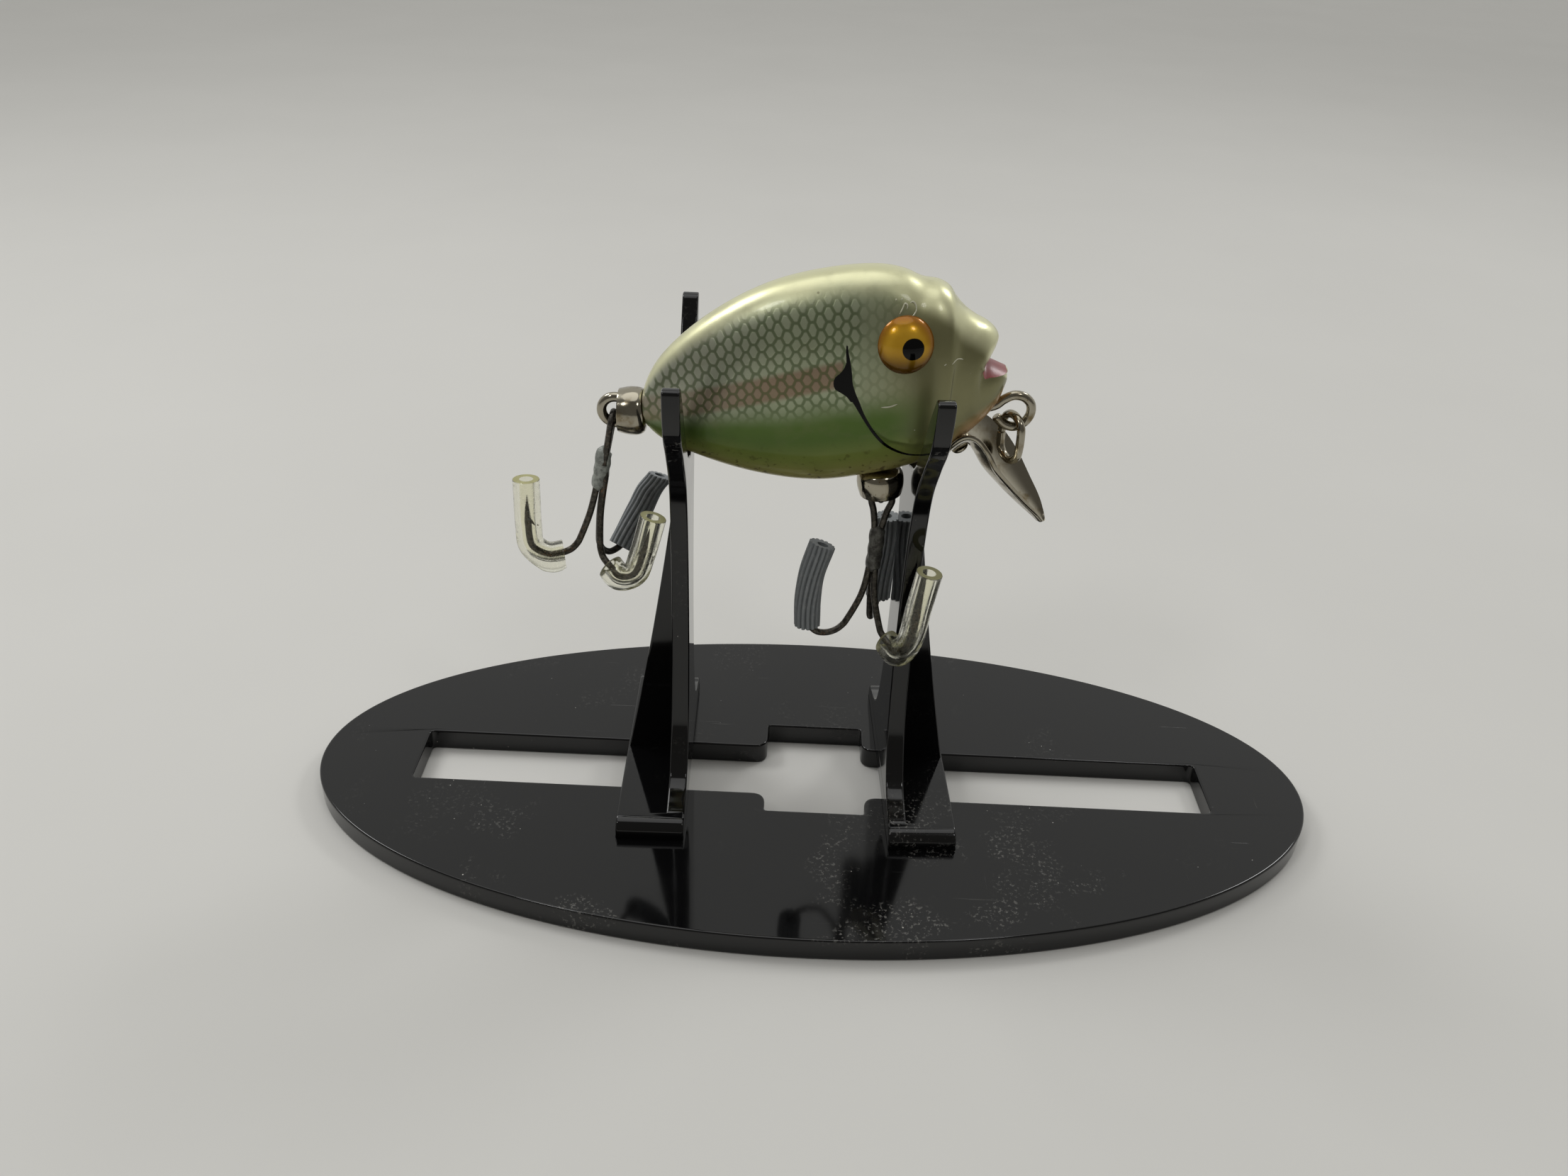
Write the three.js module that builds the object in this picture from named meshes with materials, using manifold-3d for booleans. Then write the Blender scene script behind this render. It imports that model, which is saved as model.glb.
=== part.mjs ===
// Sunfish-shaped fishing lure resting in a black two-fork display stand.
// Millimetres, +Z up. The origin is the centre of the base plate's underside,
// +X runs along the plate towards the lure's nose and the lure's left side faces -Y.
import * as THREE from 'three';
import { ParametricGeometry } from 'three/addons/geometries/ParametricGeometry.js';
import { mergeVertices } from 'three/addons/utils/BufferGeometryUtils.js';
import Module from 'manifold-3d';

// Driving dimensions: display stand
const BASE_LENGTH = 173.7;
const BASE_WIDTH = 78.7;
const BASE_THICKNESS = 4.1;
const SLOT_LENGTH = 139.2;
const SLOT_WIDTH = 12.7;
const WINDOW = { left: -8.2, right: 9.0, front: -10.7, back: 12.4, fillet: 2.3 };
const PLATE_THICKNESS = 3.06;
const PLATE_DRAFT = 0.17;
const FORK_HEIGHT = 83.5;
const FOOT = { width: 11.2, halfLength: 21.4, thickness: 3.3, roundOver: 2.5 };
const GUSSET = { thickness: 2.6, top: 57, sag: [6.6, 29], sunk: 1 };
const UPRIGHTS = [
  { name: 'upright_tail', innerFaceX: -21.6, outward: -1, turn: 0.018 },
  { name: 'upright_head', innerFaceX: 11.7, outward: 1, turn: 0.043 },
];

// Driving dimensions: lure
const LURE_Y = 2.16;
const EYE = { x: 8.5, z: 85.9, offsetY: 6.0, radius: 4.5, dome: 2.3, lean: 0.25 };
const MOUTH = { x: 25.0, z: 82.7, depth: 3.3, halfWidth: 9, halfHeight: 1.45, slant: -0.2 };
const CUP = { radius: 3.55, depth: 3.4, wall: 0.45, hole: 1.05 };
const TAIL_EYE = { x: -33.2, z: 71.3, loop: 2.1, wire: 0.75, shank: 9.0 };
const TAIL_CUP_FLOOR_X = -29.3;
const BELLY_EYE = { x: 7.8, z: 59.85, loop: 1.5, wire: 0.65, shank: 8.0, tilt: 0.1 };
const BELLY_CUP_FLOOR_Z = 62.75;
const SCREW_HOLE = { radius: 1.05, depth: 10 };
const LINE_TIE = { wire: 0.72, holeX: 24.0, holeZ: 75.15, holeLength: 8, holeSlant: -0.32, room: 0.45 };
const LINK = { x: 26.8, z: 69.8, width: 4.9, height: 7.3, wire: 0.64, turn: -1.1 };
const LIP_THICKNESS = 0.8;
const LIP_SCREW = { x: 19.5, z: 67.55, radius: 1.35, edge: 1.1, height: 0.9, lean: -0.63 };
const CLEARANCE = 0.3;

// Driving dimensions: treble hooks and the tubes pushed over their points
const HOOK_WIRE = 0.53;
const HOOK_EYE_RADIUS = 1.62;
const HOOK_EYE_LENGTH = 6.5;
const POINT_LENGTH = 2.4;
const BRAZE = { top: 1.0, bottom: 1.1, overlap: 0.6 };
const HOOK_GATHER = 0.62;
const CLEAR_TUBE = { radius: 2.05, bore: 1.05, ribs: 0 };
const RIBBED_TUBE = { radius: 2.0, bore: 0.9, ribs: 15 };
const GROOVE_DEPTH = 0.27;

const wasm = await Module();
wasm.setup();

const vec = (x, y, z) => new THREE.Vector3(x, y, z);

/** Turns a closed three.js geometry into a solid that can be joined and cut. */
function toSolid(geometry) {
  const bare = geometry.clone();
  bare.deleteAttribute('normal');
  bare.deleteAttribute('uv');
  const merged = mergeVertices(bare, 1e-4);
  const index = merged.index.array;
  const corners = [];
  for (let i = 0; i < index.length; i += 3) {
    const [a, b, c] = [index[i], index[i + 1], index[i + 2]];
    if (a !== b && b !== c && c !== a) corners.push(a, b, c);
  }
  return new wasm.Manifold(new wasm.Mesh({
    numProp: 3,
    vertProperties: new Float32Array(merged.attributes.position.array),
    triVerts: new Uint32Array(corners),
  }));
}

/** Turns a solid back into a three.js geometry. */
function toGeometry(solid) {
  const mesh = solid.getMesh();
  const geometry = new THREE.BufferGeometry();
  geometry.setAttribute('position', new THREE.BufferAttribute(mesh.vertProperties, 3));
  geometry.setIndex(new THREE.BufferAttribute(mesh.triVerts, 1));
  geometry.computeVertexNormals();
  return geometry;
}

/** Joins closed geometries into one solid. */
function join(geometries) {
  return geometries.map(toSolid).reduce((whole, next) => whole.add(next));
}

/** Outline of a circle, or of a ribbed section when ribs are asked for. */
function tubeOutline(radius, ribs, sides) {
  const count = ribs > 0 ? ribs * 2 : sides;
  const points = [];
  for (let i = 0; i < count; i += 1) {
    const angle = (i / count) * Math.PI * 2;
    const r = ribs > 0 && i % 2 === 1 ? radius - GROOVE_DEPTH : radius;
    points.push(new THREE.Vector2(r * Math.cos(angle), r * Math.sin(angle)));
  }
  return points;
}

/** Smooth line on the middle plane through points given as x and z. */
function middleLine(points) {
  return new THREE.CatmullRomCurve3(points.map(([x, z]) => vec(x, 0, z)), false, 'centripetal');
}

/** Solid wire of round section along a smooth line through the points. */
function wire(points, radius, steps, sides = 6) {
  const shape = new THREE.Shape(tubeOutline(radius, 0, sides));
  const path = new THREE.CatmullRomCurve3(points, false, 'centripetal');
  return new THREE.ExtrudeGeometry(shape, { steps, extrudePath: path });
}

/** Open-ended tube along a smooth line through the points. */
function sleeve(points, tube) {
  const steps = tube.ribs > 0 ? 4 : 6;
  const shape = new THREE.Shape(tubeOutline(tube.radius, tube.ribs, 12));
  shape.holes.push(new THREE.Path(tubeOutline(tube.bore, 0, 8)));
  const path = new THREE.CatmullRomCurve3(points, false, 'centripetal');
  return new THREE.ExtrudeGeometry(shape, { steps, extrudePath: path });
}

/** Base: an oval plate with a long slot that opens into a wider middle window. */
function baseGeometry() {
  const oval = new THREE.Shape();
  oval.absellipse(0, 0, BASE_LENGTH / 2, BASE_WIDTH / 2, 0, Math.PI * 2);
  const [end, side, w] = [SLOT_LENGTH / 2, SLOT_WIDTH / 2, WINDOW];
  const slot = new THREE.Path();
  slot.moveTo(-end, -side);
  slot.lineTo(w.left - w.fillet, -side);
  slot.quadraticCurveTo(w.left, -side, w.left, -side - w.fillet);
  slot.lineTo(w.left, w.front);
  slot.lineTo(w.right, w.front);
  slot.lineTo(w.right, -side - w.fillet);
  slot.quadraticCurveTo(w.right, -side, w.right + w.fillet, -side);
  slot.lineTo(end, -side);
  slot.lineTo(end, side);
  slot.lineTo(w.right + w.fillet, side);
  slot.quadraticCurveTo(w.right, side, w.right, side + w.fillet);
  slot.lineTo(w.right, w.back);
  slot.lineTo(w.left, w.back);
  slot.lineTo(w.left, side + w.fillet);
  slot.quadraticCurveTo(w.left, side, w.left - w.fillet, side);
  slot.lineTo(-end, side);
  slot.closePath();
  const plate = new THREE.Shape(oval.getPoints(36));
  plate.holes.push(new THREE.Path(slot.getPoints(4)));
  return new THREE.ExtrudeGeometry(plate, { depth: BASE_THICKNESS, bevelEnabled: false });
}

/** Fork plate outline in depth and height: flared foot, waisted stem and a wide U for the lure. */
function forkShape(footTop) {
  const outer = new THREE.SplineCurve([
    new THREE.Vector2(18.5, footTop),
    new THREE.Vector2(11.8, 10.0),
    new THREE.Vector2(7.6, 17.0),
    new THREE.Vector2(5.5, 30.0),
    new THREE.Vector2(5.9, 47.0),
    new THREE.Vector2(9.0, 62.8),
    new THREE.Vector2(13.9, 70.0),
    new THREE.Vector2(18.4, 75.5),
    new THREE.Vector2(20.3, 82.0),
    new THREE.Vector2(19.5, 83.4),
  ]).getPoints(20);
  const inner = new THREE.SplineCurve([
    new THREE.Vector2(18.4, 83.4),
    new THREE.Vector2(14.9, 79.0),
    new THREE.Vector2(10.2, 72.2),
    new THREE.Vector2(5.0, 66.4),
    new THREE.Vector2(0, 64.35),
  ]).getPoints(9);
  const half = [new THREE.Vector2(18.5, footTop - 1), ...outer, ...inner];
  const mirrored = half.slice(0, -1).reverse().map((p) => new THREE.Vector2(-p.x, p.y));
  return new THREE.Shape([...half, ...mirrored]);
}

/** Thins a fork plate evenly from its foot to its tips, as a moulding is drafted. */
function draftPlate(plate) {
  const place = plate.attributes.position;
  const middle = PLATE_THICKNESS / 2;
  for (let i = 0; i < place.count; i += 1) {
    const share = 1 - PLATE_DRAFT * (place.getZ(i) / FORK_HEIGHT);
    place.setX(i, middle + (place.getX(i) - middle) * share);
  }
}

/** One upright: foot, fork plate and gusset as a single moulded piece. */
function uprightGeometry(outward) {
  const bottom = BASE_THICKNESS;
  const footTop = bottom + FOOT.thickness;
  const { halfLength, roundOver } = FOOT;
  const foot = new THREE.Shape();
  foot.moveTo(-halfLength, bottom);
  foot.lineTo(halfLength, bottom);
  foot.lineTo(halfLength, footTop - roundOver);
  foot.absarc(halfLength - roundOver, footTop - roundOver, roundOver, 0, Math.PI / 2);
  foot.absarc(roundOver - halfLength, footTop - roundOver, roundOver, Math.PI / 2, Math.PI);
  foot.closePath();
  const gusset = new THREE.Shape();
  const [near, far] = [PLATE_THICKNESS - GUSSET.sunk, FOOT.width - 0.2];
  gusset.moveTo(near, footTop - GUSSET.sunk);
  gusset.lineTo(far, footTop - GUSSET.sunk);
  gusset.lineTo(far, footTop);
  gusset.quadraticCurveTo(...GUSSET.sag, PLATE_THICKNESS - 0.2, GUSSET.top);
  gusset.lineTo(near, GUSSET.top);
  gusset.closePath();
  const flat = { bevelEnabled: false, curveSegments: 5 };
  const alongX = new THREE.Matrix4().makeBasis(vec(0, 1, 0), vec(0, 0, 1), vec(1, 0, 0));
  const footSolid = new THREE.ExtrudeGeometry(foot, { depth: FOOT.width, ...flat }).applyMatrix4(alongX);
  const plate = new THREE.ExtrudeGeometry(forkShape(footTop), { depth: PLATE_THICKNESS, ...flat });
  draftPlate(plate.applyMatrix4(alongX));
  const rib = new THREE.ExtrudeGeometry(gusset, { depth: GUSSET.thickness, ...flat });
  rib.rotateX(Math.PI / 2).translate(0, GUSSET.thickness / 2, 0);
  const solid = join([footSolid, plate, rib]);
  return toGeometry(outward < 0 ? solid.mirror([1, 0, 0]) : solid);
}

// Lure body: the back and belly lines run from the middle of the tail end to the lower lip
const BACK_LINE = [
  [-28.9, 71.9], [-29.0, 74.3], [-26.9, 79.3], [-20.4, 86.0], [-11.2, 91.7], [-2.5, 94.4],
  [5.0, 95.3], [9.7, 94.2], [13.3, 93.5], [16.6, 91.3], [20.7, 88.0], [22.9, 86.0], [23.3, 83.6],
  [24.3, 81.2], [24.95, 79.4],
];
const BELLY_LINE = [
  [-28.9, 71.9], [-28.5, 70.2], [-26.4, 67.7], [-20.4, 64.9], [-11.5, 62.5], [-2.4, 61.8], [5.3, 63.2],
  [12.4, 65.5], [17.6, 68.9], [21.0, 71.8], [23.9, 75.8], [24.95, 79.4],
];
const HALF_WIDTHS = [
  [0, 0], [0.02, 2.7], [0.06, 3.5], [0.18, 5.0], [0.35, 6.6], [0.55, 7.7], [0.72, 7.7],
  [0.86, 6.3], [0.94, 4.6], [0.985, 2.6], [1, 0],
];

/** Lure body skin: oval sections whose height and width follow the outlines above. */
function bodySkin() {
  const [back, belly] = [middleLine(BACK_LINE), middleLine(BELLY_LINE)];
  const widths = new THREE.SplineCurve(HALF_WIDTHS.map(([u, w]) => new THREE.Vector2(u, w)));
  const halfWidth = (u) => {
    const last = HALF_WIDTHS.length - 1;
    const k = Math.max(1, HALF_WIDTHS.findIndex(([stop]) => stop >= u));
    const [u0, u1] = [HALF_WIDTHS[k - 1][0], HALF_WIDTHS[k][0]];
    return widths.getPoint((k - 1 + (u - u0) / (u1 - u0)) / last).y;
  };
  const section = (s, v, target) => {
    const u = (1 - Math.cos(Math.PI * s)) / 2;
    const upper = back.getPointAt(u);
    const lower = belly.getPointAt(u);
    const angle = v * Math.PI * 2;
    const middle = upper.clone().add(lower).multiplyScalar(0.5);
    const reach = upper.sub(lower).multiplyScalar(0.5 * Math.cos(angle));
    target.copy(middle).add(reach);
    target.y = Math.max(0, halfWidth(u)) * Math.sin(angle);
  };
  return new ParametricGeometry(section, 26, 18);
}

/** Flattened ball used for the eye domes and the open mouth. */
function ellipsoid(rx, ry, rz, across, down) {
  return new THREE.SphereGeometry(1, across, down).scale(rx, ry, rz);
}

/** Whole body: skin, eye domes, open mouth and the holes that take the screw eyes. */
function bodyGeometry() {
  let body = toSolid(bodySkin());
  for (const side of [-1, 1]) {
    const dome = ellipsoid(EYE.radius, EYE.dome, EYE.radius, 16, 7);
    dome.rotateX(side * EYE.lean).translate(EYE.x, side * EYE.offsetY, EYE.z);
    body = body.add(toSolid(dome));
  }
  const mouth = ellipsoid(MOUTH.depth, MOUTH.halfWidth, MOUTH.halfHeight, 14, 8);
  mouth.rotateY(MOUTH.slant).translate(MOUTH.x, 0, MOUTH.z);
  const drill = new THREE.CylinderGeometry(SCREW_HOLE.radius, SCREW_HOLE.radius, SCREW_HOLE.depth, 10);
  const tailHole = drill.clone().rotateZ(Math.PI / 2).translate(-27, 0, TAIL_EYE.z);
  const bellyHole = drill.clone().rotateX(Math.PI / 2).translate(0, 0, 6).rotateY(-BELLY_EYE.tilt);
  bellyHole.translate(BELLY_EYE.x, 0, BELLY_EYE.z);
  const { wire: tie, room, holeX, holeZ, holeLength, holeSlant } = LINE_TIE;
  const tieHole = new THREE.CylinderGeometry(tie + room, tie + room, holeLength, 10);
  tieHole.rotateZ(Math.PI / 2).rotateY(holeSlant).translate(holeX, 0, holeZ);
  for (const cut of [mouth, tailHole, bellyHole, tieHole]) body = body.subtract(toSolid(cut));
  return toGeometry(body);
}

/** Screw-eye cup, opening along +Z from its pierced floor at the origin. */
function cupGeometry() {
  const { radius, depth, wall, hole } = CUP;
  const profile = [
    [hole, 0], [radius - 1.1, 0], [radius - 0.25, 0.75], [radius, 2.2], [radius, depth],
    [radius - wall, depth], [radius - wall - 0.25, 1.2], [hole, wall + 0.25], [hole, 0],
  ].map(([r, z]) => new THREE.Vector2(r, z));
  return new THREE.LatheGeometry(profile, 14).rotateX(Math.PI / 2);
}

/** Screw eye: a wire ring standing on the XZ plane, with its shank along -Z. */
function screwEyeGeometry({ loop, wire: radius, shank }) {
  const ring = new THREE.TorusGeometry(loop, radius, 7, 16).rotateX(Math.PI / 2);
  const stem = new THREE.CylinderGeometry(radius, radius, shank, 7).rotateX(Math.PI / 2);
  stem.translate(0, 0, -loop - shank / 2 + 0.2);
  return toGeometry(join([ring, stem]));
}

/** Line tie: wire that leaves the chin, turns a full loop and ends close to the chin. */
function lineTieGeometry() {
  const route = [
    [20.8, 74.15], [22.4, 74.45], [23.9, 74.95], [25.0, 75.9], [26.4, 76.6], [27.9, 76.4], [29.0, 75.4],
    [29.2, 73.8], [28.4, 72.3], [27.0, 71.6], [25.5, 71.9], [24.5, 72.7], [24.1, 73.2],
  ];
  return wire(route.map(([x, z]) => vec(x, 0, z)), LINE_TIE.wire, 20, 7);
}

/** Oval link: a ring whose two halves are moved apart. */
function linkGeometry() {
  const radius = LINK.width / 2;
  const segments = 18;
  const ring = new THREE.TorusGeometry(radius, LINK.wire, 7, segments).rotateZ(Math.PI / segments);
  const spread = (LINK.height - LINK.width) / 2;
  const place = ring.attributes.position;
  for (let i = 0; i < place.count; i += 1) place.setY(i, place.getY(i) + Math.sign(place.getY(i)) * spread);
  return ring.rotateX(Math.PI / 2);
}

// Diving lip stations from under the chin to the tip: x, z, half width, dish depth and roll
const LIP_STATIONS = [
  [16.0, 66.9, 2.6, 0.5, 0], [18.0, 68.6, 3.6, 1.4, 0], [19.9, 70.0, 4.6, 2.2, 0.03],
  [21.4, 68.9, 5.3, 2.9, 0.12], [23.2, 66.4, 5.6, 3.3, 0.22], [26.0, 63.4, 5.0, 2.8, 0.24],
  [29.0, 60.4, 3.7, 2.0, 0.24], [31.8, 57.8, 2.2, 1.2, 0.24], [33.9, 55.6, 0.6, 0.3, 0.24],
];

/** Diving lip: a dished metal blade bent down and forward to a point. */
function lipGeometry() {
  const centre = middleLine(LIP_STATIONS);
  const shape = new THREE.CatmullRomCurve3(LIP_STATIONS.map(([, , w, d, roll]) => vec(w, d, roll)));
  const [along, across] = [14, 6];
  const corners = [];
  const faces = [];
  for (let i = 0; i <= along; i += 1) {
    const point = centre.getPoint(i / along);
    const tangent = centre.getTangent(i / along);
    const { x: width, y: dish, z: roll } = shape.getPoint(i / along);
    const up = vec(-tangent.z, 0, tangent.x).applyAxisAngle(tangent, roll);
    const side = vec(0, 1, 0).applyAxisAngle(tangent, roll);
    for (const drop of [0, -LIP_THICKNESS]) {
      for (let j = 0; j <= across; j += 1) {
        const f = (j / across) * 2 - 1;
        const place = point.clone().addScaledVector(up, dish * f * f + drop).addScaledVector(side, f * width);
        corners.push(place.x, place.y, place.z);
      }
    }
  }
  const row = across + 1;
  const at = (i, layer, j) => (i * 2 + layer) * row + j;
  const quad = (a, b, c, d) => faces.push(a, b, c, a, c, d);
  for (let i = 0; i < along; i += 1) {
    for (let j = 0; j < across; j += 1) {
      quad(at(i, 0, j), at(i + 1, 0, j), at(i + 1, 0, j + 1), at(i, 0, j + 1));
      quad(at(i, 1, j), at(i, 1, j + 1), at(i + 1, 1, j + 1), at(i + 1, 1, j));
    }
    quad(at(i, 0, 0), at(i, 1, 0), at(i + 1, 1, 0), at(i + 1, 0, 0));
    quad(at(i, 0, across), at(i + 1, 0, across), at(i + 1, 1, across), at(i, 1, across));
  }
  for (let j = 0; j < across; j += 1) {
    quad(at(0, 0, j), at(0, 0, j + 1), at(0, 1, j + 1), at(0, 1, j));
    quad(at(along, 0, j), at(along, 1, j), at(along, 1, j + 1), at(along, 0, j + 1));
  }
  const geometry = new THREE.BufferGeometry();
  geometry.setAttribute('position', new THREE.Float32BufferAttribute(corners, 3));
  geometry.setIndex(faces);
  geometry.computeVertexNormals();
  return geometry;
}

/** Points of one hook in its own plane: down the shank, round the bend and up to the point. */
function hookLine({ drop, spread, bend, rise, lean }) {
  const start = HOOK_GATHER;
  const slope = Math.atan2(2 * spread, drop);
  const points = [[start, 3], [start, 0], [start + spread * 0.25, -drop * 0.5], [start + spread, -drop]];
  const centre = [start + spread + bend * Math.cos(slope), -drop + bend * Math.sin(slope)];
  const turns = 7;
  for (let i = 1; i <= turns; i += 1) {
    const angle = Math.PI + slope + (Math.PI - slope) * (i / turns);
    points.push([centre[0] + bend * Math.cos(angle), centre[1] + bend * Math.sin(angle)]);
  }
  const [r, z] = points[points.length - 1];
  points.push([r + rise * lean * 0.4, z + rise * 0.5], [r + rise * lean, z + rise]);
  return points;
}

/** Places in-plane points of a hook at its angle round the shank. */
function roundShank(points, angle) {
  return points.map(([r, z]) => vec(r * Math.cos(angle), r * Math.sin(angle), z));
}

/** Treble hook with its eye on top: the origin is where the three bends part. */
function trebleSolid(spec, grow = 0) {
  const pieces = [];
  const radius = HOOK_WIRE + grow;
  for (const angle of spec.angles) {
    const line = roundShank(hookLine(spec), angle);
    const [before, tip] = line.slice(-2);
    const along = tip.clone().sub(before).normalize();
    pieces.push(wire(line, radius, 12));
    const point = new THREE.ConeGeometry(radius, POINT_LENGTH, 6);
    point.applyQuaternion(new THREE.Quaternion().setFromUnitVectors(vec(0, 1, 0), along));
    const seat = tip.clone().addScaledVector(along, POINT_LENGTH / 2 - 0.15);
    pieces.push(point.translate(seat.x, seat.y, seat.z));
  }
  const top = spec.shank;
  const eye = [];
  for (const side of [1, -1]) {
    const neck = top - HOOK_EYE_LENGTH;
    const arm = [[HOOK_WIRE, neck - 2], [HOOK_WIRE, neck], [2 * HOOK_WIRE, neck + 3.1]];
    for (let i = 0; i < 3; i += 1) {
      const a = (i / 3) * (Math.PI / 2);
      arm.push([HOOK_EYE_RADIUS * Math.cos(a), top - HOOK_EYE_RADIUS + HOOK_EYE_RADIUS * Math.sin(a)]);
    }
    const placed = roundShank(arm, spec.eyeTurn + (side > 0 ? 0 : Math.PI));
    eye.push(...(side > 0 ? [...placed, vec(0, 0, top)] : placed.reverse()));
  }
  pieces.push(wire(eye, radius, 14));
  const brazeLength = top - HOOK_EYE_LENGTH + BRAZE.overlap;
  const braze = new THREE.CylinderGeometry(BRAZE.top + grow, BRAZE.bottom + grow, brazeLength, 8);
  braze.rotateX(Math.PI / 2).translate(0, 0, brazeLength / 2 - 0.1);
  pieces.push(braze);
  return join(pieces);
}

// Each treble: where its three hooks part, how it hangs, and the centre line of the tube on each
// point, given in that hook's own plane as distance from the shank and height
const TREBLES = [
  {
    name: 'tail_treble',
    drop: 9.3, spread: 1.2, bend: 4.1, rise: 5.6, lean: 0.12, shank: 12.1, eyeTurn: Math.PI / 2,
    place: [-35.65, -1.75, 59.15], tilt: [-0.145, 0.18], angles: [3.37, 5.73, 0.95],
    covers: [
      ['tail_cover_left', CLEAR_TUBE, [[3.9, -11.9], [6.2, -12.5], [8.9, -11.3], [10.0, -8.0], [11.4, -0.4]]],
      ['tail_cover_front', CLEAR_TUBE, [[4.4, -12.0], [6.5, -12.8], [9.1, -11.3], [9.9, -8.0], [10.5, -1.2]]],
      ['tail_cover_rear', RIBBED_TUBE, [[7.7, -12.0], [9.3, -9.3], [11.0, -5.5], [13.6, 0.1]]],
    ],
  },
  {
    name: 'belly_treble',
    drop: 9.6, spread: 2.8, bend: 3.8, rise: 5.6, lean: 0, shank: 13.2, eyeTurn: 0,
    place: [7.5, -1.65, 46.6], tilt: [-0.12, 0.055], angles: [3.42, 5.44, 1.31],
    covers: [
      ['belly_cover_left', RIBBED_TUBE, [[9.9, -9.9], [10.3, -4.8], [10.1, -0.6], [8.9, 4.3]]],
      ['belly_cover_front', CLEAR_TUBE, [[5.0, -11.0], [7.7, -11.6], [9.8, -9.3], [11.0, -1.6], [11.8, 3.9]]],
      ['belly_cover_rear', RIBBED_TUBE, [[10.4, -9.6], [9.9, -2.3], [9.2, 5.6]]],
    ],
  },
];

/** Paints and metals of the photographed piece. */
const FINISH = {
  acrylic: { color: 0x070708, roughness: 0.12, metalness: 0 },
  paint: { color: 0x7c8762, roughness: 0.3, metalness: 0.1 },
  nickel: { color: 0xb5aea0, roughness: 0.22, metalness: 1 },
  bronzed: { color: 0x4a443a, roughness: 0.45, metalness: 1 },
  clear: { color: 0xd6d2a6, roughness: 0.15, metalness: 0 },
  rubber: { color: 0x6c7073, roughness: 0.7, metalness: 0 },
};

/** Names a mesh and gives it its own material. */
function piece(name, geometry, finish) {
  const mesh = new THREE.Mesh(geometry, new THREE.MeshStandardMaterial(FINISH[finish]));
  mesh.name = name;
  return mesh;
}

/** Display stand: base plate and the two forked uprights standing across its slot. */
function buildStand() {
  const stand = new THREE.Group();
  stand.add(piece('base_plate', baseGeometry(), 'acrylic'));
  for (const { name, innerFaceX, outward, turn } of UPRIGHTS) {
    const upright = piece(name, uprightGeometry(outward), 'acrylic');
    upright.position.set(innerFaceX, LURE_Y, 0);
    upright.rotation.z = turn;
    stand.add(upright);
  }
  return stand;
}

/** Cups, screw eyes, line tie, link and diving lip, all on the lure's middle plane. */
function buildFittings() {
  const fittings = new THREE.Group();
  const tailCup = piece('tail_cup', cupGeometry(), 'nickel');
  tailCup.position.set(TAIL_CUP_FLOOR_X, 0, TAIL_EYE.z);
  tailCup.rotation.y = -Math.PI / 2;
  const tailEye = piece('tail_screw_eye', screwEyeGeometry(TAIL_EYE), 'nickel');
  tailEye.position.set(TAIL_EYE.x, 0, TAIL_EYE.z);
  tailEye.rotation.y = -Math.PI / 2;
  const below = new THREE.Group();
  below.position.set(BELLY_EYE.x, 0, BELLY_EYE.z);
  below.rotation.y = Math.PI - BELLY_EYE.tilt;
  const bellyCup = piece('belly_cup', cupGeometry(), 'nickel');
  bellyCup.position.z = BELLY_EYE.z - BELLY_CUP_FLOOR_Z;
  const bellyEye = piece('belly_screw_eye', screwEyeGeometry(BELLY_EYE), 'nickel');
  bellyEye.rotation.z = Math.PI / 2;
  below.add(bellyCup, bellyEye);
  const link = piece('link_ring', linkGeometry(), 'nickel');
  link.position.set(LINK.x, 0, LINK.z);
  link.rotation.z = LINK.turn;
  const screwHead = new THREE.CylinderGeometry(LIP_SCREW.radius, LIP_SCREW.edge, LIP_SCREW.height, 12);
  const screw = piece('lip_screw', screwHead, 'nickel');
  screw.position.set(LIP_SCREW.x, 0, LIP_SCREW.z);
  screw.rotation.set(Math.PI / 2, LIP_SCREW.lean, 0, 'YXZ');
  fittings.add(tailCup, tailEye, below, link, screw);
  fittings.add(piece('line_tie', lineTieGeometry(), 'nickel'));
  fittings.add(piece('diving_lip', lipGeometry(), 'nickel'));
  return fittings;
}

/** One treble hook with the three tubes on its points. */
function buildTreble(spec) {
  const treble = new THREE.Group();
  treble.position.set(...spec.place);
  treble.rotation.set(spec.tilt[0], spec.tilt[1], 0, 'YXZ');
  treble.add(piece(spec.name, toGeometry(trebleSolid(spec)), 'bronzed'));
  const room = trebleSolid(spec, CLEARANCE);
  spec.covers.forEach(([name, tube, line], i) => {
    const tubeSolid = toSolid(sleeve(roundShank(line, spec.angles[i]), tube)).subtract(room);
    treble.add(piece(name, toGeometry(tubeSolid), tube.ribs > 0 ? 'rubber' : 'clear'));
  });
  return treble;
}

const lure = new THREE.Group();
lure.position.y = LURE_Y;
lure.add(piece('lure_body', bodyGeometry(), 'paint'));
lure.add(buildFittings());
TREBLES.forEach((spec) => lure.add(buildTreble(spec)));

const object = new THREE.Group();
object.add(buildStand(), lure);

export default object;
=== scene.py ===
"""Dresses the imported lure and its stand: camera, light, fine meshes and finishes.

Shapes are worked out in millimetres on numpy grids and become metres in piece().
"""
import math

import bmesh
import bpy
import numpy as np
from mathutils import Matrix, Vector


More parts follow.
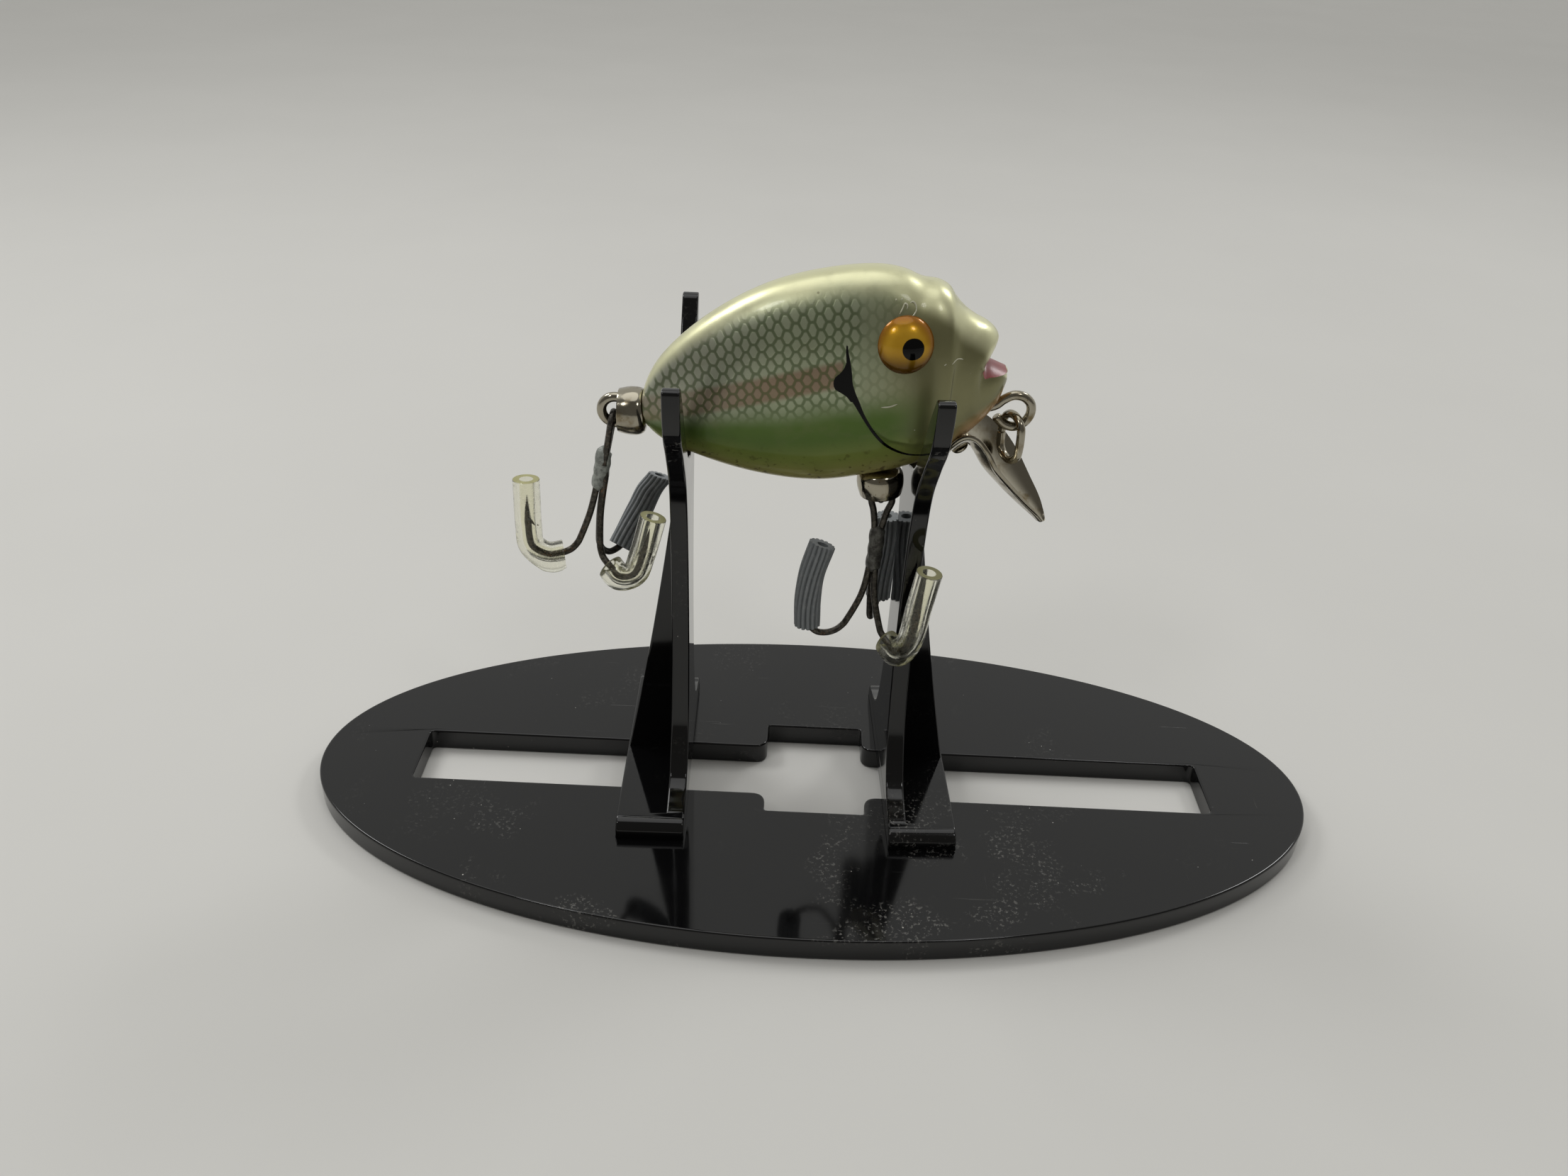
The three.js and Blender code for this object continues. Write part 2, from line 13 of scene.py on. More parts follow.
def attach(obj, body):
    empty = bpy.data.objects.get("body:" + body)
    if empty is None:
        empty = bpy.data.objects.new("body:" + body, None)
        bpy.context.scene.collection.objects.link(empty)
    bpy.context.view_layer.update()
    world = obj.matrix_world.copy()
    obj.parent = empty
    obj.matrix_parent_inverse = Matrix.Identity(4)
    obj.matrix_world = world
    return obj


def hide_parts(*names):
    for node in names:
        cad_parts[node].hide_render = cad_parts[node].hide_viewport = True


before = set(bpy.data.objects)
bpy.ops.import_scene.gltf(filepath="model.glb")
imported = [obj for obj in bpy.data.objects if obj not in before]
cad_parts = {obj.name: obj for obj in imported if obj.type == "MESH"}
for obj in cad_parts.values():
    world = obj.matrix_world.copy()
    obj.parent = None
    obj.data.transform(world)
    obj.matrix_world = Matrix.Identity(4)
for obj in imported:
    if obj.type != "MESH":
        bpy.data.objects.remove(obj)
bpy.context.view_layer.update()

MM = 0.001
LURE_Y = 2.16  # middle plane of the lure
CLEAN_EDGE = math.radians(32)  # faces that meet more sharply show an edge

# Stand. An upright has its name, the x of its inner face, the way its foot points and its turn
BASE = {"length": 173.7, "width": 78.7, "thickness": 4.1, "edge": 0.35}
SLOT = {"length": 139.2, "width": 12.7}
WINDOW = {"left": -8.2, "right": 9.0, "front": -10.7, "back": 12.4, "fillet": 2.3}
PLATE = {"thickness": 3.06, "draft": 0.17, "height": 83.5, "edge": 0.3}
FOOT = {"width": 11.2, "half": 21.4, "thickness": 3.3, "round": 2.5}
GUSSET = {"thickness": 2.6, "top": 57.0, "sag": (6.6, 29.0), "sunk": 1.0}
UPRIGHTS = [("upright_tail", -21.6, -1, 0.018), ("upright_head", 11.7, 1, 0.043)]

# Lure. Angles are in radians
EYE = {"x": 8.9, "z": 86.1, "offset": 6.0, "radius": 4.3, "dome": 2.75, "lean": 0.22}
PUPIL = {"x": 9.93, "z": 86.32, "radius": 1.54}
LIP_ROLL = {"height": 0.2, "from_edge": 0.3, "width": 0.24}
LIP_LINE = {"x": 21.2, "z": 82.3, "slope": -0.35, "soft": 0.2}  # the lip is rolled only below it
SNOUT = {"from": 15.0, "to": 22.0, "round": 0.1}
GILL_FOLD = {"height": 0.16, "width": 0.5}
GILL_STEP = {"height": 0.1, "sharp": 4, "reach": 3.0}
CUP = {"radius": 3.65, "rim": 3.3, "depth": 4.3, "wall": 0.45, "hole": 1.05, "sunk": 0.9}
TAIL_EYE = {"x": -33.2, "z": 71.3, "loop": 2.1, "wire": 0.75, "shank": 9.0}
TAIL_CUP_FLOOR_X = -29.3
BELLY_EYE = {"x": 7.8, "z": 59.85, "loop": 1.5, "wire": 0.65, "shank": 8.0, "tilt": 0.1}
BELLY_CUP_FLOOR_Z = 62.75
LINE_TIE_WIRE = 0.72
LINK = {"x": 26.8, "z": 69.8, "width": 4.9, "height": 7.3, "wire": 0.64, "turn": -1.1}
LIP_THICKNESS = 0.8
LIP_SCREW = {"x": 19.5, "z": 67.55, "radius": 1.35, "height": 0.9, "lean": -0.63}

# Treble hooks and the tubes on their points. HOOK_GATHER is how far each hook's wire stands from the
# middle of the shank, and BARB says where a barb starts and ends from the point's root
HOOK_WIRE = 0.53
HOOK_EYE_RADIUS = 1.62
HOOK_EYE_LENGTH = 6.5
HOOK_GATHER = 0.62
POINT_LENGTH = 4.2
BARB = {"foot": 0.15, "rise": 1.05, "ahead": 0.5, "back": 1.5, "wire": 0.34}
CLEAR = {"radius": 2.05, "bore": 1.05, "ribs": 0}
RIBBED = {"radius": 2.12, "bore": 0.9, "ribs": 15}
GROOVE = 0.46


# Camera fitted to the photograph: place in metres, angles in radians, focal length and frame in pixels
CAMERA = {"place": (-0.006516, -0.171953, 0.150313), "pitch": 0.56107934, "roll": -0.04616351,
          "focal": 1768.415, "frame": 2212}
# Lamps: name, place and the height aimed at in metres, size in metres and power in watts
LAMPS = [("window_left", (-0.42, 0.2, 0.5), 0.08, 0.2, 0.9),
         ("window_right", (0.42, 0.36, 0.52), 0.08, 0.16, 0.7),
         ("lamp_left", (-0.3, -0.28, 0.5), 0.07, 0.1, 0.3),
         ("lamp_right", (0.22, -0.3, 0.55), 0.07, 0.1, 0.22)]


def linear(red, green, blue):
    """Linear light from an sRGB colour given in 0 to 255: the standard power curve per channel."""
    steps = np.array([red, green, blue], float) / 255
    low = steps / 12.92
    high = ((steps + 0.055) / 1.055) ** 2.4
    return tuple(float(c) for c in np.where(steps <= 0.04045, low, high)) + (1.0,)


def unit(vectors):
    """Vectors brought to length one."""
    return vectors / np.linalg.norm(vectors, axis=-1, keepdims=True)


def turns(count):
    """Even angles round a full circle."""
    return np.linspace(0, 2 * np.pi, count, endpoint=False)


def running(points):
    """Running length from a line's start to each of its points."""
    return np.concatenate([[0], np.cumsum(np.linalg.norm(np.diff(points, axis=0), axis=1))])


def resampled(points, at, stops):
    """A line's points at the stops, each column interpolated over the places named by at."""
    return np.stack([np.interp(stops, at, points[:, k]) for k in range(points.shape[1])], axis=1)


def smooth_line(points, count, closed=False):
    """Even points on a centripetal Catmull-Rom curve: knots spaced by the root of each chord,
    cubic Hermite pieces between them, then resampled by running length."""
    p = np.array(points, float)
    if closed:
        p = np.vstack([p[-1], p, p[0], p[1]])
    else:
        p = np.vstack([2 * p[0] - p[1], p, 2 * p[-1] - p[-2]])
    chord = np.sqrt(np.linalg.norm(np.diff(p, axis=0), axis=1))[:, None]
    before, here, after = chord[:-2], chord[1:-1], chord[2:]
    step = np.diff(p, axis=0)
    start = step[:-2] / before - (p[2:-1] - p[:-3]) / (before + here) + step[1:-1] / here
    end = step[1:-1] / here - (p[3:] - p[1:-2]) / (here + after) + step[2:] / after
    t = np.linspace(0, 1, 40, endpoint=False)[None, :, None]
    a, b = p[1:-2][:, None], p[2:-1][:, None]
    u, v = (start * here)[:, None], (end * here)[:, None]
    cubic = (2 * t**3 - 3 * t**2 + 1) * a + (t**3 - 2 * t**2 + t) * u
    cubic = cubic + (3 * t**2 - 2 * t**3) * b + (t**3 - t**2) * v
    dense = np.vstack([cubic.reshape(-1, p.shape[1]), p[-2]])
    run = running(dense)
    return resampled(dense, run, np.linspace(0, run[-1], count, endpoint=not closed))


def spline(points, count):
    """Points on a uniform Catmull-Rom curve, evenly spaced in its parameter."""
    p = np.array(points, float)
    p = np.vstack([p[0], p, p[-1]])
    t = np.linspace(0, len(points) - 1, count)
    k = np.minimum(t.astype(int), len(points) - 2)
    w = (t - k)[:, None]
    p0, p1, p2, p3 = p[k], p[k + 1], p[k + 2], p[k + 3]
    v0, v1 = (p2 - p0) / 2, (p3 - p1) / 2
    return (2 * p1 - 2 * p2 + v0 + v1) * w**3 + (-3 * p1 + 3 * p2 - 2 * v0 - v1) * w**2 + v0 * w + p1


def arc(centre, radius, start, end, count):
    """Points on an arc: the centre plus radius times (cos, sin) of evenly spaced degrees."""
    a = np.radians(np.linspace(start, end, count))
    return np.stack([centre[0] + radius * np.cos(a), centre[1] + radius * np.sin(a)], axis=1)


def shell(grid, wrap_rows=False, caps=True):
    """Vertices and quads of a grid of points whose rows are rings. The last row joins the first
    where wrap_rows is set, and otherwise caps close both with one face each."""
    rows, columns = grid.shape[:2]
    row = np.arange(rows if wrap_rows else rows - 1)[:, None]
    here, beyond = row * columns, (row + 1) % rows * columns
    ring = np.arange(columns)[None]
    after = (ring + 1) % columns
    corners = [here + ring, here + after, beyond + after, beyond + ring]
    faces = np.stack([corner.ravel() for corner in corners], axis=1).tolist()
    if caps and not wrap_rows:
        faces.append(list(range(columns))[::-1])
        faces.append(list(range((rows - 1) * columns, rows * columns)))
    return grid.reshape(-1, 3), faces


def sweep(path, binormal, radius, sides=16, caps=True):
    """Wire or tube along a flat path: each ring is the path point plus radius times (cos along
    the in-plane normal, sin along the fixed binormal). The radius is one number, a number a ring,
    or a table of rings by sides."""
    path = np.array(path, float)
    binormal = unit(np.array(binormal, float))
    normal = np.cross(binormal, unit(np.gradient(path, axis=0)))
    a = turns(sides)[None, :, None]
    radius = np.reshape(radius, (-1, 1)) if np.ndim(radius) == 1 else radius
    r = np.broadcast_to(radius, (len(path), sides))[..., None]
    return shell(path[:, None] + r * (np.cos(a) * normal[:, None] + np.sin(a) * binormal), caps=caps)


def lathe(profile, sides=72):
    """Surface of revolution about Z: each profile point (r, z) turned through a full circle. A
    profile that closes on itself gives a ring, one that starts and ends on the axis a solid."""
    profile = np.array(profile, float)
    a = turns(sides)
    grid = np.stack([profile[:, :1] * np.cos(a), profile[:, :1] * np.sin(a),
                     np.repeat(profile[:, 1:], sides, axis=1)], axis=2)
    closed = np.allclose(profile[0], profile[-1])
    return shell(grid[:-1] if closed else grid, wrap_rows=closed, caps=not closed)


def rounded_rim(edge, low, high):
    """Insets and levels of a rounded edge: from a flat's supporting ring through a quarter turn
    (edge times 1 - cos and 1 - sin) down the wall, and the same again at the far side."""
    turn = np.radians([90, 67.5, 45, 22.5, 0])
    support = edge * 0.3
    inset = np.concatenate([[edge + support], edge * (1 - np.cos(turn)), [0.0]])
    rise = np.concatenate([[0.0], edge * (1 - np.sin(turn)), [edge + support]])
    return np.concatenate([inset, inset[::-1]]), np.concatenate([low + rise, high - rise[::-1]])


def outward_ways(outline):
    """Way out at each point of a closed outline: the way from the point before to the point after,
    turned a quarter, on the side that the outline's area tells."""
    ahead, behind = np.roll(outline, -1, axis=0), np.roll(outline, 1, axis=0)
    way = unit(ahead - behind)
    area = np.sum(outline[:, 0] * ahead[:, 1] - ahead[:, 0] * outline[:, 1])
    return np.stack([way[:, 1], -way[:, 0]], axis=1) * np.sign(area)


def slab(outline, low, high, edge, axis, draft=None):
    """Flat slab between two levels: the outline is drawn in by the rounded rim's insets at its
    levels, along the way out at each of its points. draft may shift the levels."""
    outline = np.array(outline, float)
    inset, level = rounded_rim(edge, low, high)
    flat = outline[None] - inset[:, None, None] * outward_ways(outline)[None]
    height = np.repeat(level[:, None], len(outline), axis=1)
    if draft is not None:
        height = draft(height, flat)
    columns = [flat[..., 0], flat[..., 1]]
    columns.insert("xyz".index(axis), height)
    return shell(np.stack(columns, axis=2))


def at_place(place_mm, *turned):
    """Matrix to a place in millimetres after turns given as (angle, axis), the last one first."""
    matrix = Matrix.Translation(place_mm)
    for angle, axis in turned:
        matrix = matrix @ Matrix.Rotation(angle, 4, axis)
    return matrix


def place(part, matrix):
    """A part's vertices carried by a 4 by 4 matrix in millimetres."""
    vertices, faces = part
    m = np.array(matrix)
    return vertices @ m[:3, :3].T + m[:3, 3], faces


def merged(parts):
    """Several parts as one list of vertices and faces."""
    vertices, faces, first = [], [], 0
    for points, polygons in parts:
        vertices.append(points)
        faces += [[first + k for k in polygon] for polygon in polygons]
        first += len(points)
    return np.vstack(vertices), faces


def linked(name, data):
    """A new object in the scene for a mesh, a light or a camera."""
    thing = bpy.data.objects.new(name, data)
    bpy.context.scene.collection.objects.link(thing)
    return thing


def mesh_object(name, part, material):
    """A Blender object from millimetre vertices and faces, with its faces turned outwards."""
    vertices, faces = part
    mesh = bpy.data.meshes.new(name)
    mesh.from_pydata((vertices * MM).tolist(), [], faces)
    mesh.materials.append(material)
    work = bmesh.new()
    work.from_mesh(mesh)
    bmesh.ops.recalc_face_normals(work, faces=work.faces)
    work.to_mesh(mesh)
    work.free()
    mesh.shade_smooth()
    mesh.set_sharp_from_angle(angle=CLEAN_EDGE)
    return linked(name, mesh)


def apply_boolean(thing, other, operation):
    """thing joined with or cut by another closed object, which is then removed."""
    step = thing.modifiers.new(operation, "BOOLEAN")
    step.operation = operation
    step.solver = "EXACT"
    step.use_self = operation == "UNION"
    step.object = other
    step.material_mode = "TRANSFER"
    bpy.context.view_layer.update()
    evaluated = thing.evaluated_get(bpy.context.evaluated_depsgraph_get())
    result = bpy.data.meshes.new_from_object(evaluated)
    thing.modifiers.clear()
    old, thing.data = thing.data, result
    bpy.data.meshes.remove(old)
    bpy.data.objects.remove(other)
    thing.data.set_sharp_from_angle(angle=CLEAN_EDGE)
    return thing


def finish_piece(thing, nodes=()):
    """Gives a piece its body, and lets it stand for CAD nodes."""
    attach(thing, "root")
    if nodes:
        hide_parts(*nodes)
    return thing


def piece(name, parts, material, nodes=()):
    """One finished piece from one part or a list of them."""
    part = merged(parts) if isinstance(parts, list) else parts
    return finish_piece(mesh_object(name, part, material), nodes)


def fine_piece(node, parts, at, material):
    """The fine piece that stands for one CAD node, from parts carried by a matrix."""
    return piece(node + "_fine", [place(part, at) for part in parts], material, [node])


class Shading:
    """Node helpers for a material or a world, over its texture coordinates of one kind. Colours are
    written in sRGB, 0 to 255."""

    def __init__(self, owner, coordinates):
        owner.use_nodes = True
        self.tree = owner.node_tree
        self.place = self.tree.nodes.new("ShaderNodeTexCoord").outputs[coordinates]

    def link(self, source, target):
        """A socket's link, or its value where source is a number or a colour."""
        if isinstance(source, bpy.types.NodeSocket):
            self.tree.links.new(source, target)
        else:
            target.default_value = linear(*source) if target.type == "RGBA" else source

    def node(self, kind, inputs=(), **settings):
        """A node of that kind with its settings and inputs."""
        made = self.tree.nodes.new("ShaderNode" + kind)
        for key, value in settings.items():
            setattr(made, key, value)
        for key, value in dict(inputs).items():
            self.link(value, made.inputs[key])
        return made

    def math(self, operation, *values):
        """One arithmetic step."""
        return self.node("Math", dict(enumerate(values)), operation=operation).outputs[0]

    def times(self, first, second):
        """Product of two values."""
        return self.math("MULTIPLY", first, second)

    def plus(self, first, second):
        """Sum of two values."""
        return self.math("ADD", first, second)

    def minus(self, first, second):
        """First value less the second."""
        return self.math("SUBTRACT", first, second)

    def axes(self):
        """The coordinates' x, y and z in millimetres."""
        split = self.node("SeparateXYZ", {0: self.place})
        return [self.times(split.outputs[k], 1000.0) for k in range(3)]

    def attribute(self, name):
        """A value that the mesh carries at its vertices."""
        return self.node("Attribute", attribute_name=name).outputs["Fac"]

    def span(self, value, low, high, out_low=0.0, out_high=1.0):
        """The value's smooth rise from low to high, as out_low to out_high."""
        made = self.node("MapRange", {0: value, 1: low, 2: high, 3: out_low, 4: out_high},
                         interpolation_type="SMOOTHSTEP")
        return made.outputs[0]

    def noise(self, scale, detail=3.0, roughness=0.55, where=None):
        """Cloudy noise from 0 to 1; scale is in cycles per metre."""
        inputs = {"Vector": where or self.place, "Scale": scale, "Detail": detail, "Roughness": roughness}
        return self.node("TexNoise", inputs).outputs["Fac"]

    def specks(self, scale, size):
        """Small round spots, 1 inside: where the nearest of scattered points is closer than size."""
        made = self.node("TexVoronoi", {"Vector": self.place, "Scale": scale})
        return self.span(made.outputs["Distance"], size, size * 0.7)

    def stretch(self, scale, turn=(0.0, 0.0, 0.0)):
        """The object's coordinates turned and stretched, for streaks and scratches."""
        return self.node("Mapping", {"Vector": self.place, "Rotation": turn, "Scale": scale}).outputs[0]

    def blend(self, amount, first, second):
        """Two colours mixed by an amount."""
        return self.node("Mix", {0: amount, 6: first, 7: second}, data_type="RGBA").outputs[2]

    def layered(self, colour, layers):
        """A colour under layers, each an amount of 0 to 1 and the colour laid on by that amount."""
        for amount, over in layers:
            colour = self.blend(amount, colour, over)
        return colour

    def bump(self, height, distance, strength):
        """A normal from a height, in metres of relief."""
        return self.node("Bump", {"Height": height, "Distance": distance, "Strength": strength}).outputs[0]


class Finish(Shading):
    """A procedural material, with the surface shader's plain values."""

    def __init__(self, name, **plain):
        self.material = bpy.data.materials.new(name)
        super().__init__(self.material, "Object")
        self.surface = self.tree.nodes["Principled BSDF"]
        self.set(**plain)

    def set(self, **sockets):
        """Links or sets the surface shader's sockets by name."""
        for key, value in sockets.items():
            self.link(value, self.surface.inputs[key.replace("_", " ")])


def black_acrylic():
    """Polished black plastic: dust specks, fine hairline scratches and faint smears in its gloss."""
    m = Finish("polished_black", IOR=1.49)
    x, y, _ = m.axes()
    dust = m.times(m.specks(430.0, 0.05), m.span(m.noise(38.0, 2.0), 0.5, 0.66, 0.0, 0.8))
    dust = m.math("MAXIMUM", dust, m.specks(115.0, 0.02))
    by_feet = m.times(m.span(y, -6.0, -16.0), m.span(m.math("ABSOLUTE", x), 62.0, 40.0))
    scuff = m.times(m.span(m.noise(1500.0, 4.0, 0.65), 0.54, 0.66), m.span(m.noise(75.0, 2.0), 0.54, 0.64))
    scuff = m.times(scuff, m.plus(m.times(by_feet, 0.2), 0.05))
    hair = m.noise(1.0, 2.0, 0.5, m.stretch((70.0, 3600.0, 900.0), (0.0, 0.0, 0.35)))
    cross = m.noise(1.0, 2.0, 0.5, m.stretch((3300.0, 90.0, 900.0), (0.0, 0.0, -0.2)))
    scratch = m.math("MAXIMUM", m.span(hair, 0.74, 0.77), m.span(cross, 0.75, 0.78))
    scratch = m.times(scratch, m.span(m.noise(45.0, 1.0), 0.54, 0.66))
    marks = m.math("MAXIMUM", m.math("MAXIMUM", dust, m.times(scratch, 0.1)), scuff)
    gloss = m.span(m.noise(30.0, 4.0, 0.6), 0.35, 0.75, 0.05, 0.13)
    m.set(Base_Color=m.blend(marks, (9, 9, 10), (176, 174, 168)),
          Roughness=m.plus(gloss, m.times(marks, 0.35)),
          Normal=m.bump(m.minus(dust, scratch), 0.00002, 0.4))
    return m.material


def hex_net(m, x, z):
    """Distance to the edge of a six-sided scale in millimetres. The net is turned a little. Folding
    its two directions gives the distances to the nearest column's centre across and along, and a
    slanted side lies where across and along, weighed by its direction, come to a fixed sum."""
    turn, column, row, lean = 0.103, 1.205, 0.995, 0.52
    wobble = m.minus(m.noise(260.0, 2.0), 0.5)
    across = m.plus(m.times(x, math.cos(turn)), m.times(z, math.sin(turn)))
    along = m.minus(m.times(z, math.cos(turn)), m.times(x, math.sin(turn)))
    across = m.math("PINGPONG", m.plus(across, m.times(wobble, 0.9)), column)
    along = m.math("PINGPONG", m.plus(along, m.times(wobble, -0.7)), row)
    norm = math.hypot(1.0, lean)
    half = (column + lean * row) / norm / 2
    weighed = m.math("DIVIDE", m.plus(across, m.times(along, lean)), norm)
    side = m.math("ABSOLUTE", m.minus(weighed, half))
    first = m.math("LESS_THAN", weighed, half)
    ends = m.node("Mix", {0: first, 2: along, 3: m.minus(row, along)}, data_type="FLOAT").outputs[0]
    return m.math("SMOOTH_MIN", side, ends, 0.18)


def body_paint():
    """Pearl lacquer: silver back that is also a painted highlight along the ridge and over the brow,
    grey-green flank under a scale net, a pink band of scales, a green belly that turns olive at the keel,
    an orange chin and a black gill mark. lift is the share of the body's height, over and band are
    heights above a slanted line in millimetres."""
    m = Finish("fish_paint", Coat_Weight=0.6, Coat_Roughness=0.08, Coat_IOR=1.34, Specular_IOR_Level=0.0)
    x, _, z = m.axes()
    cloud = m.minus(m.noise(110.0, 3.0), 0.5)
    lift = m.plus(m.attribute("height"), m.times(cloud, 0.07))
    over = m.plus(m.minus(z, m.times(x, 0.16)), m.times(cloud, 3.0))
    band = m.math("ABSOLUTE", m.minus(m.minus(z, m.times(x, 0.3)), 81.6))
    green = m.times(m.span(over, 79.5, 73.5), m.span(x, 16.0, 7.0))
    low = m.times(m.span(lift, 0.3, 0.1), m.span(x, 20.0, 10.0))
    olive = m.times(m.span(lift, 0.16, 0.03), m.span(x, 20.0, 12.0))
    keel = m.times(m.span(lift, 0.035, 0.0), 0.6)
    chin = m.times(m.span(lift, 0.2, 0.03), m.span(x, 13.0, 20.0))
    edge = hex_net(m, x, z)
    front = m.plus(x, m.times(cloud, 7.0))
    fade = m.times(m.span(lift, 0.96, 0.86), m.span(over, 74.6, 77.6))
    fade = m.times(fade, m.plus(m.span(front, 11.0, 5.0, 0.0, 0.3), m.span(front, 3.0, 1.0, 0.0, 0.7)))
    pink = m.times(m.span(band, 2.5, 1.4), m.span(x, 0.8, 0.2))
    pink = m.times(pink, m.span(x, -30.0, -8.0, 0.5, 1.0))
    cells = m.times(m.span(edge, 0.12, 0.34), fade)
    net = m.times(m.span(edge, 0.3, 0.1), fade)
    # The pale back colour is silver paint and also a painted highlight: a band along the ridge that reaches
    # further over the brow.
    back = m.span(m.plus(lift, m.span(x, 8.0, 16.0, 0.0, 0.05)), 0.88, 0.99)
    tired = m.times(m.span(m.noise(300.0, 4.0), 0.5, 0.8), 0.22)
    grime = m.times(m.span(m.noise(850.0, 3.0), 0.57, 0.69), m.span(lift, 0.34, 0.02))
    grime = m.times(grime, m.span(x, 14.0, 8.0))
    fleck = m.times(m.specks(700.0, 0.17), m.span(m.noise(170.0), 0.56, 0.66))
    grime = m.math("MAXIMUM", grime, m.times(fleck, m.span(lift, 0.9, 0.97)))
    glint = m.times(m.specks(420.0, 0.07), m.span(m.noise(130.0), 0.5, 0.6))
    gill = m.minus(m.math("ABSOLUTE", m.attribute("stroke_side")), m.attribute("stroke_width"))
    gill = m.span(m.math("MINIMUM", gill, m.attribute("blotch")), 0.05, -0.05)
    colour = m.blend(m.span(x, -26.0, -4.0), (176, 178, 160), (164, 172, 142))
    m.set(Base_Color=m.layered(colour, [
        (m.span(x, 0.0, 13.0), (136, 134, 98)), (green, (84, 108, 48)), (low, (142, 152, 80)),
        (olive, (164, 158, 94)), (keel, (176, 156, 118)), (m.times(chin, 0.65), (206, 158, 108)),
        (m.times(pink, 0.72), (128, 74, 52)), (m.times(cells, 0.15), (186, 192, 174)),
        (m.times(net, 0.7), (84, 100, 64)), (back, (222, 221, 180)), (tired, (122, 120, 88)),
        (m.times(grime, 0.75), (62, 44, 24)), (m.times(glint, 0.6), (232, 230, 214)), (gill, (3, 3, 3))]))
    pearl = m.times(m.minus(1.0, gill), m.span(lift, 0.1, 0.4, 0.45, 0.72))
    relief = m.plus(m.times(m.noise(170.0, 2.0), 0.8), m.times(cells, 0.1))
    m.set(Metallic=pearl, Roughness=m.span(m.noise(200.0), 0.3, 0.8, 0.33, 0.43),
          Normal=m.bump(m.plus(m.noise(420.0, 3.0), cells), 0.00005, 0.4),
          Coat_Normal=m.bump(relief, 0.0001, 0.3))
    return m.material


def mouth_rose():
    """Rose lacquer inside the mouth, uneven and a little worn."""
    m = Finish("mouth_rose", Coat_Weight=0.25, Coat_Roughness=0.2)
    worn = m.span(m.noise(900.0, 4.0), 0.55, 0.75)
    rose = m.blend(m.noise(500.0), (136, 46, 50), (154, 64, 64))
    m.set(Base_Color=m.blend(m.times(worn, 0.3), rose, (146, 94, 74)),
          Roughness=m.span(worn, 0.0, 1.0, 0.35, 0.55), Normal=m.bump(m.noise(900.0, 3.0), 0.00005, 0.5))
    return m.material


def chipped_lacquer():
    """Pale broken lacquer, for the curls over the eye and the scratches."""
    m = Finish("chipped_lacquer", Coat_Weight=0.8, Coat_Roughness=0.1)
    m.set(Base_Color=m.blend(m.noise(900.0), (214, 214, 192), (176, 172, 140)),
          Roughness=m.span(m.noise(1500.0), 0.3, 0.7, 0.25, 0.45))
    return m.material


def eye_paint():
    """Gold lacquer dome, amber at its rim, with painted shade turning its lower part brown, and a glossy
    black pupil.
    """
    m = Finish("eye_gold", Coat_Weight=0.7, Coat_Roughness=0.05, Coat_IOR=1.4, Specular_IOR_Level=0.0)
    pupil = m.span(m.plus(m.attribute("pupil"), m.times(m.noise(900.0), 0.1)), 0.1, 0.0)
    rim = m.span(m.attribute("rim"), 0.6, 0.96)
    # Painted shade: the gold is darkened to brown towards the dome's bottom, as if lit from above.
    painted_shade = m.span(m.axes()[2], 87.2, 83.2, 0.0, 0.9)
    gold = m.blend(m.noise(320.0, 4.0), (204, 152, 28), (234, 186, 64))
    m.set(Base_Color=m.layered(gold, [(rim, (146, 92, 18)), (painted_shade, (78, 48, 8)), (pupil, (5, 5, 5))]),
          Metallic=m.times(m.minus(1.0, pupil), 0.45), Roughness=0.27,
          Normal=m.bump(m.noise(420.0, 3.0), 0.0001, 0.5))
    return m.material


def nickel():
    """Warm worn nickel: soft tarnish clouds, brown specks and fine handling marks."""
    m = Finish("nickel_plate", Metallic=1.0)
    tarnish = m.span(m.noise(330.0, 4.0, 0.6), 0.48, 0.74)
    spots = m.times(m.specks(1500.0, 0.13), m.span(m.noise(200.0), 0.54, 0.64))
    m.set(Base_Color=m.layered((164, 158, 142), [(tarnish, (120, 106, 78)), (spots, (96, 72, 36))]),
          Roughness=m.plus(m.span(tarnish, 0.0, 1.0, 0.13, 0.3), m.times(spots, 0.3)),
          Normal=m.bump(m.noise(900.0, 4.0), 0.00003, 0.35))
    return m.material


def bronzed_wire():
    """Dull bronzed hook wire with brown rust, pale specks and a slightly pitted skin."""
    m = Finish("bronzed_wire")
    rust = m.times(m.span(m.noise(2600.0, 4.0, 0.6), 0.56, 0.66), m.span(m.noise(300.0, 2.0), 0.45, 0.6))
    wear = m.span(m.noise(1500.0, 5.0, 0.7), 0.46, 0.62)
    speck = m.times(m.specks(3200.0, 0.22), m.span(m.noise(500.0), 0.45, 0.6))
    m.set(Base_Color=m.layered((60, 57, 52), [(wear, (96, 92, 84)), (m.times(rust, 0.7), (120, 82, 48)),
                                              (m.times(speck, 0.6), (176, 170, 156))]),
          Metallic=m.span(rust, 0.0, 1.0, 0.75, 0.15), Roughness=m.span(wear, 0.0, 1.0, 0.3, 0.5),
          Normal=m.bump(m.noise(2200.0, 5.0, 0.65), 0.00006, 0.6))
    return m.material


def braze_metal(name, dark, pale):
    """Grey brazing metal: a dull mottled skin with shallow dents."""
    m = Finish(name, Metallic=0.35)
    mottle = m.span(m.noise(1100.0, 5.0, 0.65), 0.36, 0.66)
    pit = m.span(m.noise(3000.0, 3.0), 0.6, 0.7)
    m.set(Base_Color=m.layered(dark, [(mottle, pale), (m.times(pit, 0.5), (52, 48, 42))]),
          Roughness=m.span(mottle, 0.0, 1.0, 0.58, 0.42),
          Normal=m.bump(m.minus(m.noise(900.0, 4.0), pit), 0.00008, 0.7))
    return m.material


